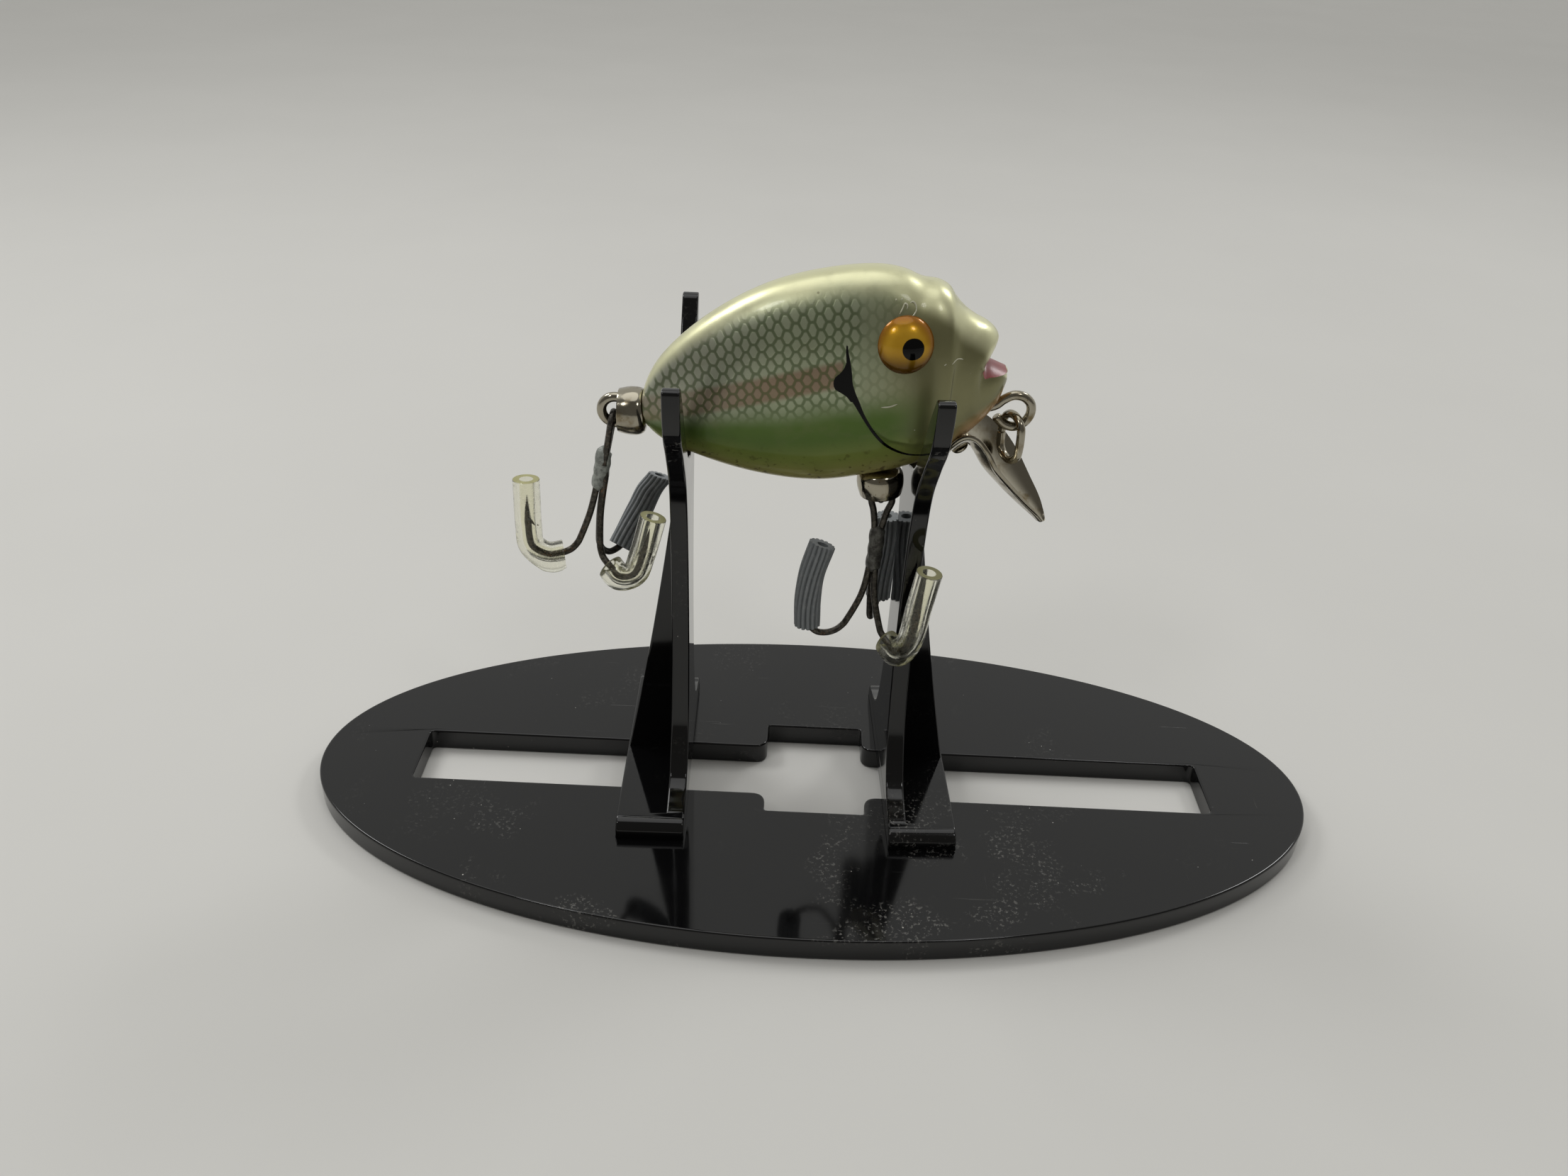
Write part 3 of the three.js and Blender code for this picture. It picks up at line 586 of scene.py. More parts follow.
def clear_tubing():
    """Soft clear tubing, slightly yellow, with dusty hazy patches and a faintly wavy skin."""
    m = Finish("clear_tubing", IOR=1.33, Transmission_Weight=1.0, Base_Color=(248, 247, 233))
    haze = m.times(m.span(m.noise(900.0, 5.0, 0.7), 0.46, 0.64), m.span(m.noise(150.0, 2.0), 0.38, 0.6))
    m.set(Roughness=m.span(haze, 0.0, 1.0, 0.08, 0.34),
          Normal=m.bump(m.plus(m.noise(260.0, 2.0), m.times(haze, 0.15)), 0.0002, 0.35))
    return m.material


def tubing_cut():
    """Cut face of the clear tubing: cloudy, yellower and duller than its skin."""
    m = Finish("tubing_cut", IOR=1.42, Transmission_Weight=0.45)
    m.set(Base_Color=m.blend(m.noise(700.0), (188, 184, 120), (206, 202, 146)),
          Roughness=m.span(m.noise(1200.0), 0.3, 0.7, 0.35, 0.55))
    return m.material


def ribbed_rubber():
    """Matt grey rubber with patches of pale dust."""
    m = Finish("ribbed_rubber")
    dust = m.span(m.noise(800.0, 4.0), 0.5, 0.75)
    m.set(Base_Color=m.blend(m.times(dust, 0.35), (126, 130, 132), (172, 174, 174)),
          Roughness=m.span(m.noise(600.0), 0.3, 0.7, 0.58, 0.74),
          Normal=m.bump(m.noise(1800.0, 3.0), 0.00004, 0.5))
    return m.material


def quadratic(start, bend, end, count):
    """Points on a curve from start to end that leans towards bend: the three points weighed by
    (1 - t) squared, 2 t (1 - t) and t squared."""
    t = np.linspace(0, 1, count)[:, None]
    return (1 - t) ** 2 * np.array(start) + 2 * t * (1 - t) * np.array(bend) + t**2 * np.array(end)


def rounded_corner(before, corner, after, radius, count=8):
    """A corner of an outline turned by a quadratic curve from one side to the other."""
    before, corner, after = (np.array(p, float) for p in (before, corner, after))
    start, end = (corner + unit(side - corner) * radius for side in (before, after))
    return quadratic(start, corner, end, count)


def evenly(outline, count):
    """A closed outline resampled at even running length."""
    closed = np.vstack([outline, outline[:1]])
    run = running(closed)
    return resampled(closed, run, np.linspace(0, run[-1], count, endpoint=False))


def base_plate(material):
    """Oval plate: the rounded rim's profile runs up the slot's outline, across the top to the
    ellipse, down its wall and back underneath, point by point round both outlines."""
    end, side = SLOT["length"] / 2, SLOT["width"] / 2
    left, right, front, back = (WINDOW[k] for k in ("left", "right", "front", "back"))
    fillet = WINDOW["fillet"]
    corners = [(end, 0, 0), (end, side, 0.9), (right, side, fillet), (right, back, 0.5),
               (left, back, 0.5), (left, side, fillet), (-end, side, 0.9), (-end, -side, 0.9),
               (left, -side, fillet), (left, front, 0.5), (right, front, 0.5),
               (right, -side, fillet), (end, -side, 0.9)]
    pieces = [np.array([[end, 0.0]])]
    for k in range(1, len(corners)):
        before, after = corners[k - 1][:2], corners[(k + 1) % len(corners)][:2]
        pieces.append(rounded_corner(before, corners[k][:2], after, corners[k][2]))
    count = 900
    inner = evenly(np.vstack(pieces), count)
    a = turns(count)
    outer = np.stack([BASE["length"] / 2 * np.cos(a), BASE["width"] / 2 * np.sin(a)], axis=1)
    inset, level = rounded_rim(BASE["edge"], 0.0, BASE["thickness"])
    rings = [inner + outward_ways(inner) * s for s in inset] + [outer - unit(outer) * s for s in inset]
    levels = np.concatenate([level, level[::-1]])
    grid = np.stack([np.column_stack([ring, np.full(count, z)]) for ring, z in zip(rings, levels)])
    piece("base_plate_fine", shell(grid, wrap_rows=True), material, ["base_plate"])


def fork_outline():
    """Fork plate outline in depth and height: flared foot, waisted stem and a wide cradle."""
    foot_top = BASE["thickness"] + FOOT["thickness"]
    outer = smooth_line([(18.5, foot_top), (11.8, 10.0), (7.6, 17.0), (5.5, 30.0), (5.9, 47.0), (9.0, 62.8),
                         (13.9, 70.0), (18.4, 75.5), (20.1, 80.4), (20.3, 82.0)], 110)
    inner = smooth_line([(17.8, 82.6), (14.9, 79.0), (10.2, 72.2), (5.0, 66.4), (0.0, 64.35)], 45)
    tip = [rounded_corner(outer[-1], (20.4, 83.4), (18.4, 83.4), 0.9, 7),
           rounded_corner((20.4, 83.4), (18.45, 83.4), inner[0], 0.7, 7)]
    half = np.vstack([[18.5, foot_top - 1], outer, tip[0], tip[1], inner])
    return np.vstack([half, half[-2::-1] * (-1, 1)])


def thin_upwards(height, flat):
    """Plate faces drawn towards the plate's middle in proportion to height, as a moulding is drafted."""
    middle = PLATE["thickness"] / 2
    return middle + (height - middle) * (1 - PLATE["draft"] * flat[..., 1] / PLATE["height"])


def upright(name, inner_face, outward, turn, material):
    """One moulding: foot, fork plate and gusset, each a slab with rounded edges, joined."""
    bottom, top = BASE["thickness"], BASE["thickness"] + FOOT["thickness"]
    half, r = FOOT["half"], FOOT["round"]
    foot = np.vstack([[(-half, bottom), (half, bottom)], arc((half - r, top - r), r, 0, 90, 12),
                      arc((r - half, top - r), r, 90, 180, 12)])
    near, far = PLATE["thickness"] - GUSSET["sunk"], FOOT["width"] - 0.2
    sag = quadratic((far, top), GUSSET["sag"], (PLATE["thickness"] - 0.2, GUSSET["top"]), 30)
    under = top - GUSSET["sunk"]
    gusset = np.vstack([[(near, under), (far, under)], sag, [(near, GUSSET["top"])]])
    reach = GUSSET["thickness"] / 2
    parts = [slab(foot, 0.0, FOOT["width"], 0.3, "x"),
             slab(fork_outline(), 0.0, PLATE["thickness"], PLATE["edge"], "x", thin_upwards),
             slab(gusset, -reach, reach, 0.25, "y")]
    stand = at_place((inner_face, LURE_Y, 0), (turn, "Z")) @ Matrix.Diagonal((outward, 1, 1, 1))
    things = [mesh_object(f"{name}_{k}", place(part, stand), material) for k, part in enumerate(parts)]
    for other in things[1:]:
        apply_boolean(things[0], other, "UNION")
    things[0].name = f"{name}_fine"
    finish_piece(things[0], [name])


# Lure body: back and belly lines from the middle of the tail end to the lower lip
BACK_LINE = [(-28.9, 71.9), (-29.0, 74.3), (-26.9, 79.3), (-20.4, 86.0), (-11.2, 91.7), (-2.5, 94.4),
             (5.0, 95.3), (8.6, 94.8), (11.2, 93.8), (13.6, 93.45), (15.2, 92.6), (16.4, 91.05),
             (17.7, 89.75), (19.6, 88.5), (21.1, 87.8), (22.3, 86.9), (22.85, 86.0), (22.8, 85.2),
             (22.55, 84.3), (22.2, 83.3), (22.7, 82.5), (23.7, 81.9), (24.45, 81.1), (24.8, 80.2),
             (24.95, 79.4)]
BELLY_LINE = [(-28.9, 71.9), (-28.5, 70.2), (-26.4, 67.7), (-20.4, 64.9), (-11.5, 62.5), (-2.4, 61.8),
              (5.3, 63.2), (12.4, 65.5), (17.6, 68.9), (21.0, 71.8), (23.9, 75.8), (24.95, 79.4)]
# Share of the way from tail to lip, and half width there
HALF_WIDTHS = [(0, 0), (0.02, 2.7), (0.06, 3.5), (0.18, 5.0), (0.35, 6.6), (0.55, 7.7), (0.72, 7.7),
               (0.86, 6.3), (0.94, 4.6), (0.985, 2.6), (1, 0)]

# Gill mark: x, z and half width along the painted line, and the blotch's outline in x and z
GILL_LINE = [(0.75, 86.0, 0.1), (0.85, 84.9, 0.19), (1.1, 83.5, 0.3), (1.2, 82.0, 0.5), (1.3, 80.4, 0.62),
             (1.9, 78.9, 0.55), (2.8, 77.3, 0.42), (3.6, 75.8, 0.3), (4.7, 74.0, 0.26), (5.9, 72.3, 0.25),
             (7.4, 70.7, 0.24), (9.3, 69.5, 0.23), (11.2, 68.8, 0.2), (14.0, 68.5, 0.14)]
GILL_BLOTCH = [(1.0, 84.4), (0.65, 82.9), (0.1, 81.95), (-0.65, 81.2), (-0.85, 80.3), (-0.55, 79.45),
               (0.3, 78.95), (1.2, 78.4), (1.9, 77.6), (2.35, 77.9), (1.95, 79.4), (1.75, 81.2), (1.5, 83.0)]
# Side outline of what is cut away for the mouth, and the raised fold of the gill plate
MOUTH_CUT = [(20.7, 82.45), (21.3, 82.85), (21.9, 83.3), (22.35, 83.95), (22.65, 84.7), (23.6, 86.0),
             (27.0, 87.0), (27.0, 80.4), (24.6, 81.0), (23.2, 81.55), (22.0, 82.0), (21.2, 82.2)]
GILL_PLATE_FOLD = [(3.4, 77.0), (5.0, 74.2), (7.9, 72.0), (11.5, 71.1), (13.8, 71.6)]


GILL_STROKE = smooth_line(GILL_LINE, 60)
# Broken curls of lacquer over the eye and scratches on the cheek: x and z along each, and its radius
LACQUER_MARKS = [
    ([(7.75, 90.3), (8.15, 91.1), (8.5, 91.75), (8.85, 91.45), (8.75, 91.0)], 0.14),
    ([(9.4, 90.0), (9.75, 90.3), (10.1, 90.9), (9.95, 91.6), (9.5, 91.95), (9.15, 91.7)], 0.14),
    ([(7.1, 92.0), (7.25, 92.25)], 0.12), ([(7.9, 92.1), (8.1, 92.3)], 0.12),
    ([(15.7, 83.8), (16.5, 84.35), (17.4, 84.15)], 0.12), ([(14.6, 83.7), (14.9, 83.9)], 0.08),
    ([(6.2, 77.1), (7.4, 77.25), (8.5, 77.75)], 0.11)]


def to_stretch(x, z, start, end):
    """A stretch from start to end, as dx and dz; the share along it of the point nearest to
    (x, z), before and after it is held to 0 to 1; and the distance to that point."""
    dx, dz = end[0] - start[0], end[1] - start[1]
    free = ((x - start[0]) * dx + (z - start[1]) * dz) / (dx * dx + dz * dz)
    t = np.clip(free, 0, 1)
    return dx, dz, free, t, np.hypot(x - start[0] - t * dx, z - start[1] - t * dz)


def line_distance(x, z, line):
    """Distance from a line of short pieces, positive on its left, with the share along it of the
    nearest point and how far past its ends the point lies."""
    best = np.full(x.shape, 1e9)
    signed, place_on, past = np.zeros(x.shape), np.zeros(x.shape), np.zeros(x.shape)
    for k, (start, end) in enumerate(zip(line[:-1], line[1:])):
        dx, dz, free, t, gap = to_stretch(x, z, start, end)
        before = np.maximum(-free, 0) if k == 0 else 0.0
        after = free - 1 if k == len(line) - 2 else 0.0
        nearer = gap < best
        best = np.where(nearer, gap, best)
        signed = np.where(nearer, gap * np.sign(dx * (z - start[1]) - dz * (x - start[0])), signed)
        place_on = np.where(nearer, k + t, place_on)
        past = np.where(nearer, np.maximum(before, after) * math.hypot(dx, dz), past)
    return signed, place_on, past


def outline_distance(x, z, outline):
    """Distance from a closed outline, negative inside by the even-odd rule."""
    ring = np.vstack([outline, outline[:1]])
    best, inside = np.full(x.shape, 1e9), np.zeros(x.shape, bool)
    for start, end in zip(ring[:-1], ring[1:]):
        dx, dz, _, _, gap = to_stretch(x, z, start, end)
        best = np.minimum(best, gap)
        if dz:
            inside ^= ((start[1] > z) != (end[1] > z)) & (x < start[0] + (z - start[1]) * dx / dz)
    return np.where(inside, -best, best)


def body_grid(rows, columns):
    """Lure skin: at each station the middle of back and belly, plus half their distance times
    cos, and the half width times a squared-off sin to the sides. The snout is rounded as seen from
    above by the square of the side distance, a lip is rolled up below the mouth's cut, and the gill
    plate stands up along its fold and its painted edge. Gives the points and their height shares."""
    u = (1 - np.cos(np.pi * np.linspace(0, 1, rows))) / 2
    share = np.linspace(0, 1, 4000)
    upper = resampled(smooth_line(BACK_LINE, 4000), share, u)
    lower = resampled(smooth_line(BELLY_LINE, 4000), share, u)
    widths = spline(HALF_WIDTHS, 2000)
    half = np.maximum(np.interp(u, widths[:, 0], widths[:, 1]), 0)
    a = turns(columns)
    middle, reach = (upper + lower) / 2, (upper - lower) / 2
    flat = middle[:, None] + reach[:, None] * np.cos(a)[None, :, None]
    fuller = np.clip((u - 0.66) / 0.22, 0, 1)[:, None]
    square = 0.85 - 0.17 * fuller**2 * (3 - 2 * fuller)
    side = np.sign(np.sin(a))[None] * np.abs(np.sin(a))[None] ** square
    grid = np.stack([flat[..., 0], half[:, None] * side, flat[..., 1]], axis=2)
    ahead = np.clip((grid[..., 0] - SNOUT["from"]) / (SNOUT["to"] - SNOUT["from"]), 0, 1)
    grid[..., 0] -= SNOUT["round"] * grid[..., 1] ** 2 * ahead**2 * (3 - 2 * ahead)
    round_body = np.roll(grid, -1, 1) - np.roll(grid, 1, 1)
    normal = np.cross(round_body, np.gradient(grid, axis=0))
    normal /= np.maximum(np.linalg.norm(normal, axis=2), 1e-9)[..., None]
    normal *= np.sign(normal[rows // 2, columns // 4, 1])
    x, z = grid[..., 0], grid[..., 2]
    off = outline_distance(x, z, MOUTH_CUT)
    below = LIP_LINE["z"] + LIP_LINE["slope"] * (x - LIP_LINE["x"]) - z
    below = np.clip(below / LIP_LINE["soft"], 0, 1)
    push = LIP_ROLL["height"] * np.exp(-((off - LIP_ROLL["from_edge"]) / LIP_ROLL["width"]) ** 2) * below
    fold = line_distance(x, z, GILL_PLATE_FOLD)[0]
    push += GILL_FOLD["height"] * np.exp(-(fold / GILL_FOLD["width"]) ** 2)
    gill = line_distance(x, z, GILL_STROKE[:, :2])[0]
    step = 1 / (1 + np.exp(-np.clip(gill * GILL_STEP["sharp"], -40, 40)))
    push += GILL_STEP["height"] * step * np.exp(-(gill / GILL_STEP["reach"]) ** 2)
    height = np.repeat((1 + np.cos(a))[None] / 2, rows, axis=0)
    ends = np.minimum(1, np.minimum(u, 1 - u) * 400)[:, None]
    return grid + (push * ends)[..., None] * normal + (0, LURE_Y, 0), height


def put_values(thing, name, values):
    """Stores one value per vertex on a mesh."""
    layer = thing.data.attributes.new(name, "FLOAT", "POINT")
    layer.data.foreach_set("value", np.asarray(values, np.float32))


def vertices_of(thing):
    """A mesh's vertices in millimetres."""
    flat = np.empty(len(thing.data.vertices) * 3, np.float32)
    thing.data.vertices.foreach_get("co", flat)
    return flat.reshape(-1, 3) / MM


def ball(radii, rows=48, columns=72):
    """Ellipsoid: rings of latitude from pole to pole, each radius times (cos, sin)."""
    lat, lon = np.linspace(0, np.pi, rows)[:, None], turns(columns)[None]
    return shell(np.stack([radii[0] * np.sin(lat) * np.cos(lon), radii[1] * np.sin(lat) * np.sin(lon),
                           radii[2] * np.cos(lat) + 0 * lon], axis=2))


def tail_seat():
    """Place of the tail cup: its floor, turned to open towards the tail."""
    return at_place((TAIL_CUP_FLOOR_X + CUP["sunk"], LURE_Y, TAIL_EYE["z"]), (-math.pi / 2, "Y"))


def belly_axis():
    """Place of the belly screw eye: its ring's middle, turned to hang down."""
    return at_place((BELLY_EYE["x"], LURE_Y, BELLY_EYE["z"]), (math.pi - BELLY_EYE["tilt"], "Y"))


def belly_seat():
    """Place of the belly cup: its floor, let into the belly."""
    return belly_axis() @ at_place((0, 0, BELLY_EYE["z"] - BELLY_CUP_FLOOR_Z - CUP["sunk"]))


def mouth_cutter():
    """Wedge cut across the snout: the mouth's side profile carried along Y, with its floor let down
    by the square of the side distance so that the lower jaw is rounded."""
    profile = smooth_line(MOUTH_CUT, 90, closed=True)
    y = np.linspace(-9.0, 9.0, 61)[:, None]
    floor = np.clip((82.75 - profile[:, 1]) / 0.5, 0, 1)[None]
    z = profile[None, :, 1] - 0.085 * np.minimum(y**2, 20.0) * floor
    return shell(np.stack([profile[None, :, 0] + 0 * y, LURE_Y + y + 0 * z, z], axis=2))


def lure_body(paint, rose):
    """The painted body with a seat cut for each cup and the open mouth cut across its nose. Its
    vertices carry the height share and the distances of gill mark and blotch for the paint. Gives
    the skin's points."""
    grid, height = body_grid(340, 230)
    thing = mesh_object("lure_body_fine", shell(grid), paint)
    x, z = grid[..., 0].ravel(), grid[..., 2].ravel()
    side, along, past = line_distance(x, z, GILL_STROKE[:, :2])
    widths = np.interp(along, np.arange(len(GILL_STROKE)), GILL_STROKE[:, 2])
    values = {"height": height.ravel(), "stroke_side": side, "stroke_width": widths - past,
              "blotch": outline_distance(x, z, smooth_line(GILL_BLOTCH, 60, closed=True))}
    for name, numbers in values.items():
        put_values(thing, name, numbers)
    wall = CUP["radius"] + 0.1
    drill = lathe([(0.0, 0.0), (CUP["radius"] - 0.5, 0.0), (wall, 0.7), (wall, 5.0), (0.0, 5.0)], 64)
    for name, seat in (("tail", tail_seat()), ("belly", belly_seat())):
        apply_boolean(thing, mesh_object(name + "_seat", place(drill, seat), paint), "DIFFERENCE")
    apply_boolean(thing, mesh_object("mouth_cut", mouth_cutter(), rose), "DIFFERENCE")
    finish_piece(thing, ["lure_body"])
    return grid.reshape(-1, 3)


def lacquer_chips(skin, material):
    """The broken curls and scratches: thin half-sunk threads that follow the near side's nearest
    points, evened out by a running mean of seven, and thin out at both ends."""
    near = skin[skin[:, 1] < LURE_Y]
    parts = []
    for line, radius in LACQUER_MARKS:
        line = smooth_line(line, 24)
        apart = (near[None, :, 0] - line[:, :1]) ** 2 + (near[None, :, 2] - line[:, 1:]) ** 2
        depth = np.convolve(np.pad(near[np.argmin(apart, axis=1), 1], 3, "edge"), np.ones(7) / 7, "valid")
        path = np.stack([line[:, 0], depth - radius * 0.2, line[:, 1]], axis=1)
        taper = np.interp(np.linspace(0, 1, 24), [0, 0.2, 0.8, 1], [0.2, 1, 1, 0.2])
        parts.append(sweep(path, (0.05, 1, 0.3), taper * radius, 8))
    piece("lacquer_chips", parts, material)


def eyes(material):
    """One gold dome a side: a flat ball sunk in the cheek, with its distance from the pupil's edge
    and from the dome's middle stored for the paint."""
    dome = ball((EYE["radius"], EYE["dome"], EYE["radius"]))
    for name, side in (("eye_left", -1), ("eye_right", 1)):
        seat = at_place((EYE["x"], LURE_Y + side * EYE["offset"], EYE["z"]), (side * EYE["lean"], "X"))
        eye = piece(name, place(dome, seat), material)
        x, _, z = vertices_of(eye).T
        put_values(eye, "pupil", np.hypot(x - PUPIL["x"], z - PUPIL["z"]) - PUPIL["radius"])
        put_values(eye, "rim", np.hypot(x - EYE["x"], z - EYE["z"]) / EYE["radius"])


def cup():
    """Screw-eye cup: a pierced floor, a rounded shoulder and a wall that draws in to its rim,
    turned about Z from one closed profile."""
    radius, rim, depth, wall, hole = (CUP[k] for k in ("radius", "rim", "depth", "wall", "hole"))
    outside = smooth_line([(radius - 1.3, 0.0), (radius - 0.55, 0.3), (radius - 0.12, 1.0), (radius, 1.9),
                           (radius - 0.08, 3.0), (rim, depth - 0.12)], 40)
    inside = smooth_line([(rim - wall, depth - 0.12), (radius - wall - 0.08, 3.0), (radius - wall, 2.0),
                          (radius - wall - 0.3, 1.2), (radius - 1.6, wall + 0.1)], 30)
    lip = [(rim - 0.04, depth - 0.03), (rim - 0.14, depth), (rim - wall + 0.14, depth),
           (rim - wall + 0.04, depth - 0.03)]
    return lathe(np.vstack([[(hole, 0.0)], outside, lip, inside, [(hole, wall + 0.1), (hole, 0.0)]]))


def screw_eye(loop, wire, shank):
    """Ring on the XZ plane with its shank along -Z: a circle's path, open by a hairline seam, and
    a threaded stem whose radius rises and falls along its length."""
    gap, pitch, plain = 0.05, 0.7, 2.0
    a = np.linspace(-np.pi / 2 + gap, 1.5 * np.pi - gap, 97)
    ring = np.stack([loop * np.cos(a), 0 * a, loop * np.sin(a)], axis=1)
    z = np.linspace(-loop + 0.1, -loop - shank, 260)
    stem = np.stack([0 * z, 0 * z, z], axis=1)
    thread = np.where(z < -loop - plain, 0.1 * np.sin(z * 2 * np.pi / pitch), 0.0)
    return [sweep(ring, (0, 1, 0), wire, 20), sweep(stem, (0, 1, 0), wire - 0.08 + thread, 16)]


def fittings(metal):
    """Cups, screw eyes, line tie, link, lip and its screw, all in worn plating."""
    tail = at_place((TAIL_EYE["x"], LURE_Y, TAIL_EYE["z"]), (-math.pi / 2, "Y"))
    across = belly_axis() @ at_place((0, 0, 0), (math.pi / 2, "Z"))
    for side, spec, seat, hung in (("tail", TAIL_EYE, tail_seat(), tail),
                                   ("belly", BELLY_EYE, belly_seat(), across)):
        ring = screw_eye(spec["loop"], spec["wire"], spec["shank"])
        fine_piece(side + "_cup", [cup()], seat, metal)
        fine_piece(side + "_screw_eye", ring, hung, metal)
    line_tie(metal)
    link(metal)
    diving_lip(metal)
    lip_screw(metal)


def line_tie(metal):
    """Wire that leaves the chin, turns a loop and ends near the chin in a cut face."""
    route = [(20.8, 74.15), (22.4, 74.45), (23.9, 74.95), (25.0, 75.9), (26.4, 76.6), (27.9, 76.4),
             (29.0, 75.4), (29.2, 73.8), (28.4, 72.3), (27.0, 71.6), (25.5, 71.9), (24.5, 72.7), (24.1, 73.2)]
    path = smooth_line([(x, LURE_Y, z) for x, z in route], 160)
    radius = np.full(len(path), LINE_TIE_WIRE)
    radius[-3:] = LINE_TIE_WIRE * np.array([0.98, 0.92, 0.8])
    fine_piece("line_tie", [sweep(path, (0, 1, 0), radius, 24)], Matrix(), metal)


def link(metal):
    """Oval ring: a circle whose halves are moved apart, with a hairline seam in its left side."""
    a = np.linspace(np.pi, 3 * np.pi, 41)
    spread = (LINK["height"] - LINK["width"]) / 2
    z = LINK["width"] / 2 * np.sin(a)
    oval = np.stack([LINK["width"] / 2 * np.cos(a), 0 * a, z + spread * np.clip(z / 0.9, -1, 1)], axis=1)
    oval[0, 2], oval[-1, 2] = -0.05, 0.05
    radius = np.full(150, LINK["wire"])
    radius[[0, -1]] *= 0.86
    ring = sweep(smooth_line(oval, len(radius)), (0, 1, 0), radius, 22)
    hung = at_place((LINK["x"], LURE_Y, LINK["z"]), (LINK["turn"], "Z"))
    fine_piece("link_ring", [ring], hung, metal)


# Diving lip from under the chin to the tip: x, z, half width, dish depth and roll
LIP_STATIONS = [(16.0, 66.9, 2.6, 0.5, 0), (18.0, 68.6, 3.6, 1.4, 0), (19.9, 70.0, 4.5, 2.0, 0.03),
                (21.4, 68.9, 5.2, 2.5, 0.12), (23.2, 66.4, 5.5, 2.9, 0.22), (26.0, 63.4, 4.95, 2.7, 0.24),
                (29.0, 60.4, 3.7, 2.0, 0.24), (31.8, 57.8, 2.2, 1.2, 0.24), (33.9, 55.6, 0.6, 0.3, 0.24)]


def diving_lip(metal):
    """Dished blade: across each station the height is the dish depth times the square of the
    share of the half width, turned about the blade's line by its roll. A closed section, rounded
    at both rims, is carried along and thins out to a point at the tip."""
    count = 140
    x, z, width, dish, roll = smooth_line(LIP_STATIONS, count).T[:, :, None]
    centre = np.hstack([x, np.full((count, 1), LURE_Y), z])
    tangent = unit(np.gradient(centre, axis=0))
    up = np.stack([-tangent[:, 2], 0 * tangent[:, 0], tangent[:, 0]], axis=1)
    side = np.repeat([[0.0, 1.0, 0.0]], count, axis=0)
    up, side = (np.cos(roll) * way + np.sin(roll) * np.cross(tangent, way) for way in (up, side))
    share, rim = np.linspace(-1, 1, 41), np.linspace(0, np.pi, 7)[1:-1]
    across = np.concatenate([share, 1 + 0 * rim, share[::-1], -1 + 0 * rim])
    bulge = np.concatenate([0 * share, np.sin(rim), 0 * share, -np.sin(rim)]) * LIP_THICKNESS * 0.3
    drop = np.concatenate([0 * share, (1 - np.cos(rim)) / 2, 1 + 0 * share, (1 + np.cos(rim)) / 2])
    left = np.linspace(1, 0, count)[:, None]
    sideways = (width * across[None] + bulge[None]) * np.clip(left / 0.035, 0.02, 1) ** 0.5
    height = dish * across[None] ** 2 - LIP_THICKNESS * drop[None] * np.clip(left / 0.05, 0.25, 1) ** 0.5
    grid = centre[:, None] + sideways[..., None] * side[:, None] + height[..., None] * up[:, None]
    fine_piece("diving_lip", [shell(grid)], Matrix(), metal)


def lip_screw(metal):
    """Domed screw head with a straight slot, facing down from the lip's strap."""
    r, h = LIP_SCREW["radius"], LIP_SCREW["height"]
    a = np.radians(np.linspace(0, 78, 12))
    dome = np.stack([r * np.cos(a), -h / 2 + 0.12 + (h - 0.12) * np.sin(a)], axis=1)
    rim = [(0.0, -h / 2), (r - 0.1, -h / 2), (r, -h / 2 + 0.06)]
    head = lathe(np.vstack([rim, dome, [(0.0, h / 2)]]), 48)
    seat = at_place((LIP_SCREW["x"], LURE_Y, LIP_SCREW["z"]), (LIP_SCREW["lean"], "Y"), (math.pi, "X"))
    thing = mesh_object("lip_screw_fine", place(head, seat), metal)
    groove = slab([(-0.16, 0.1), (0.16, 0.1), (0.16, 1.0), (-0.16, 1.0)], -2.0, 2.0, 0.02, "y")
    apply_boolean(thing, mesh_object("screw_slot", place(groove, seat), metal), "DIFFERENCE")
    finish_piece(thing, ["lip_screw"])


def hook_line(drop, spread, bend, tube_line, tip):
    """One hook in its own plane: down the shank, round a circular bend as far as its tube's mouth,
    and on along the middle of the tube to the height of the tip. Only some of the points are kept,
    so that the curve through them runs smoothly from part to part."""
    slope = math.atan2(2 * spread, drop)
    start = HOOK_GATHER
    points = [(start, 3), (start, 0), (start + spread * 0.25, -drop * 0.5), (start + spread, -drop)]
    centre = (start + spread + bend * math.cos(slope), -drop + bend * math.sin(slope))
    inside = smooth_line(np.array(tube_line)[:, :2], 60)
    inside = inside[inside[:, 1] < tip]
    swing = arc(centre, bend, 180 + math.degrees(slope), 360, 24)[1:]
    outside = swing[(swing[:, 0] < inside[0, 0] - 0.9) & (swing[:, 1] < centre[1])]
    return np.vstack([points, outside[::3], inside[2:-3:6], inside[-1:]])


def round_shank(points, angle):
    """Points (out, up) or (out, up, sideways) at their angle round the shank."""
    p = np.array(points, float)
    side = p[:, 2] if p.shape[1] > 2 else 0 * p[:, 0]
    return np.stack([p[:, 0] * math.cos(angle) - side * math.sin(angle),
                     p[:, 0] * math.sin(angle) + side * math.cos(angle), p[:, 1]], axis=1)


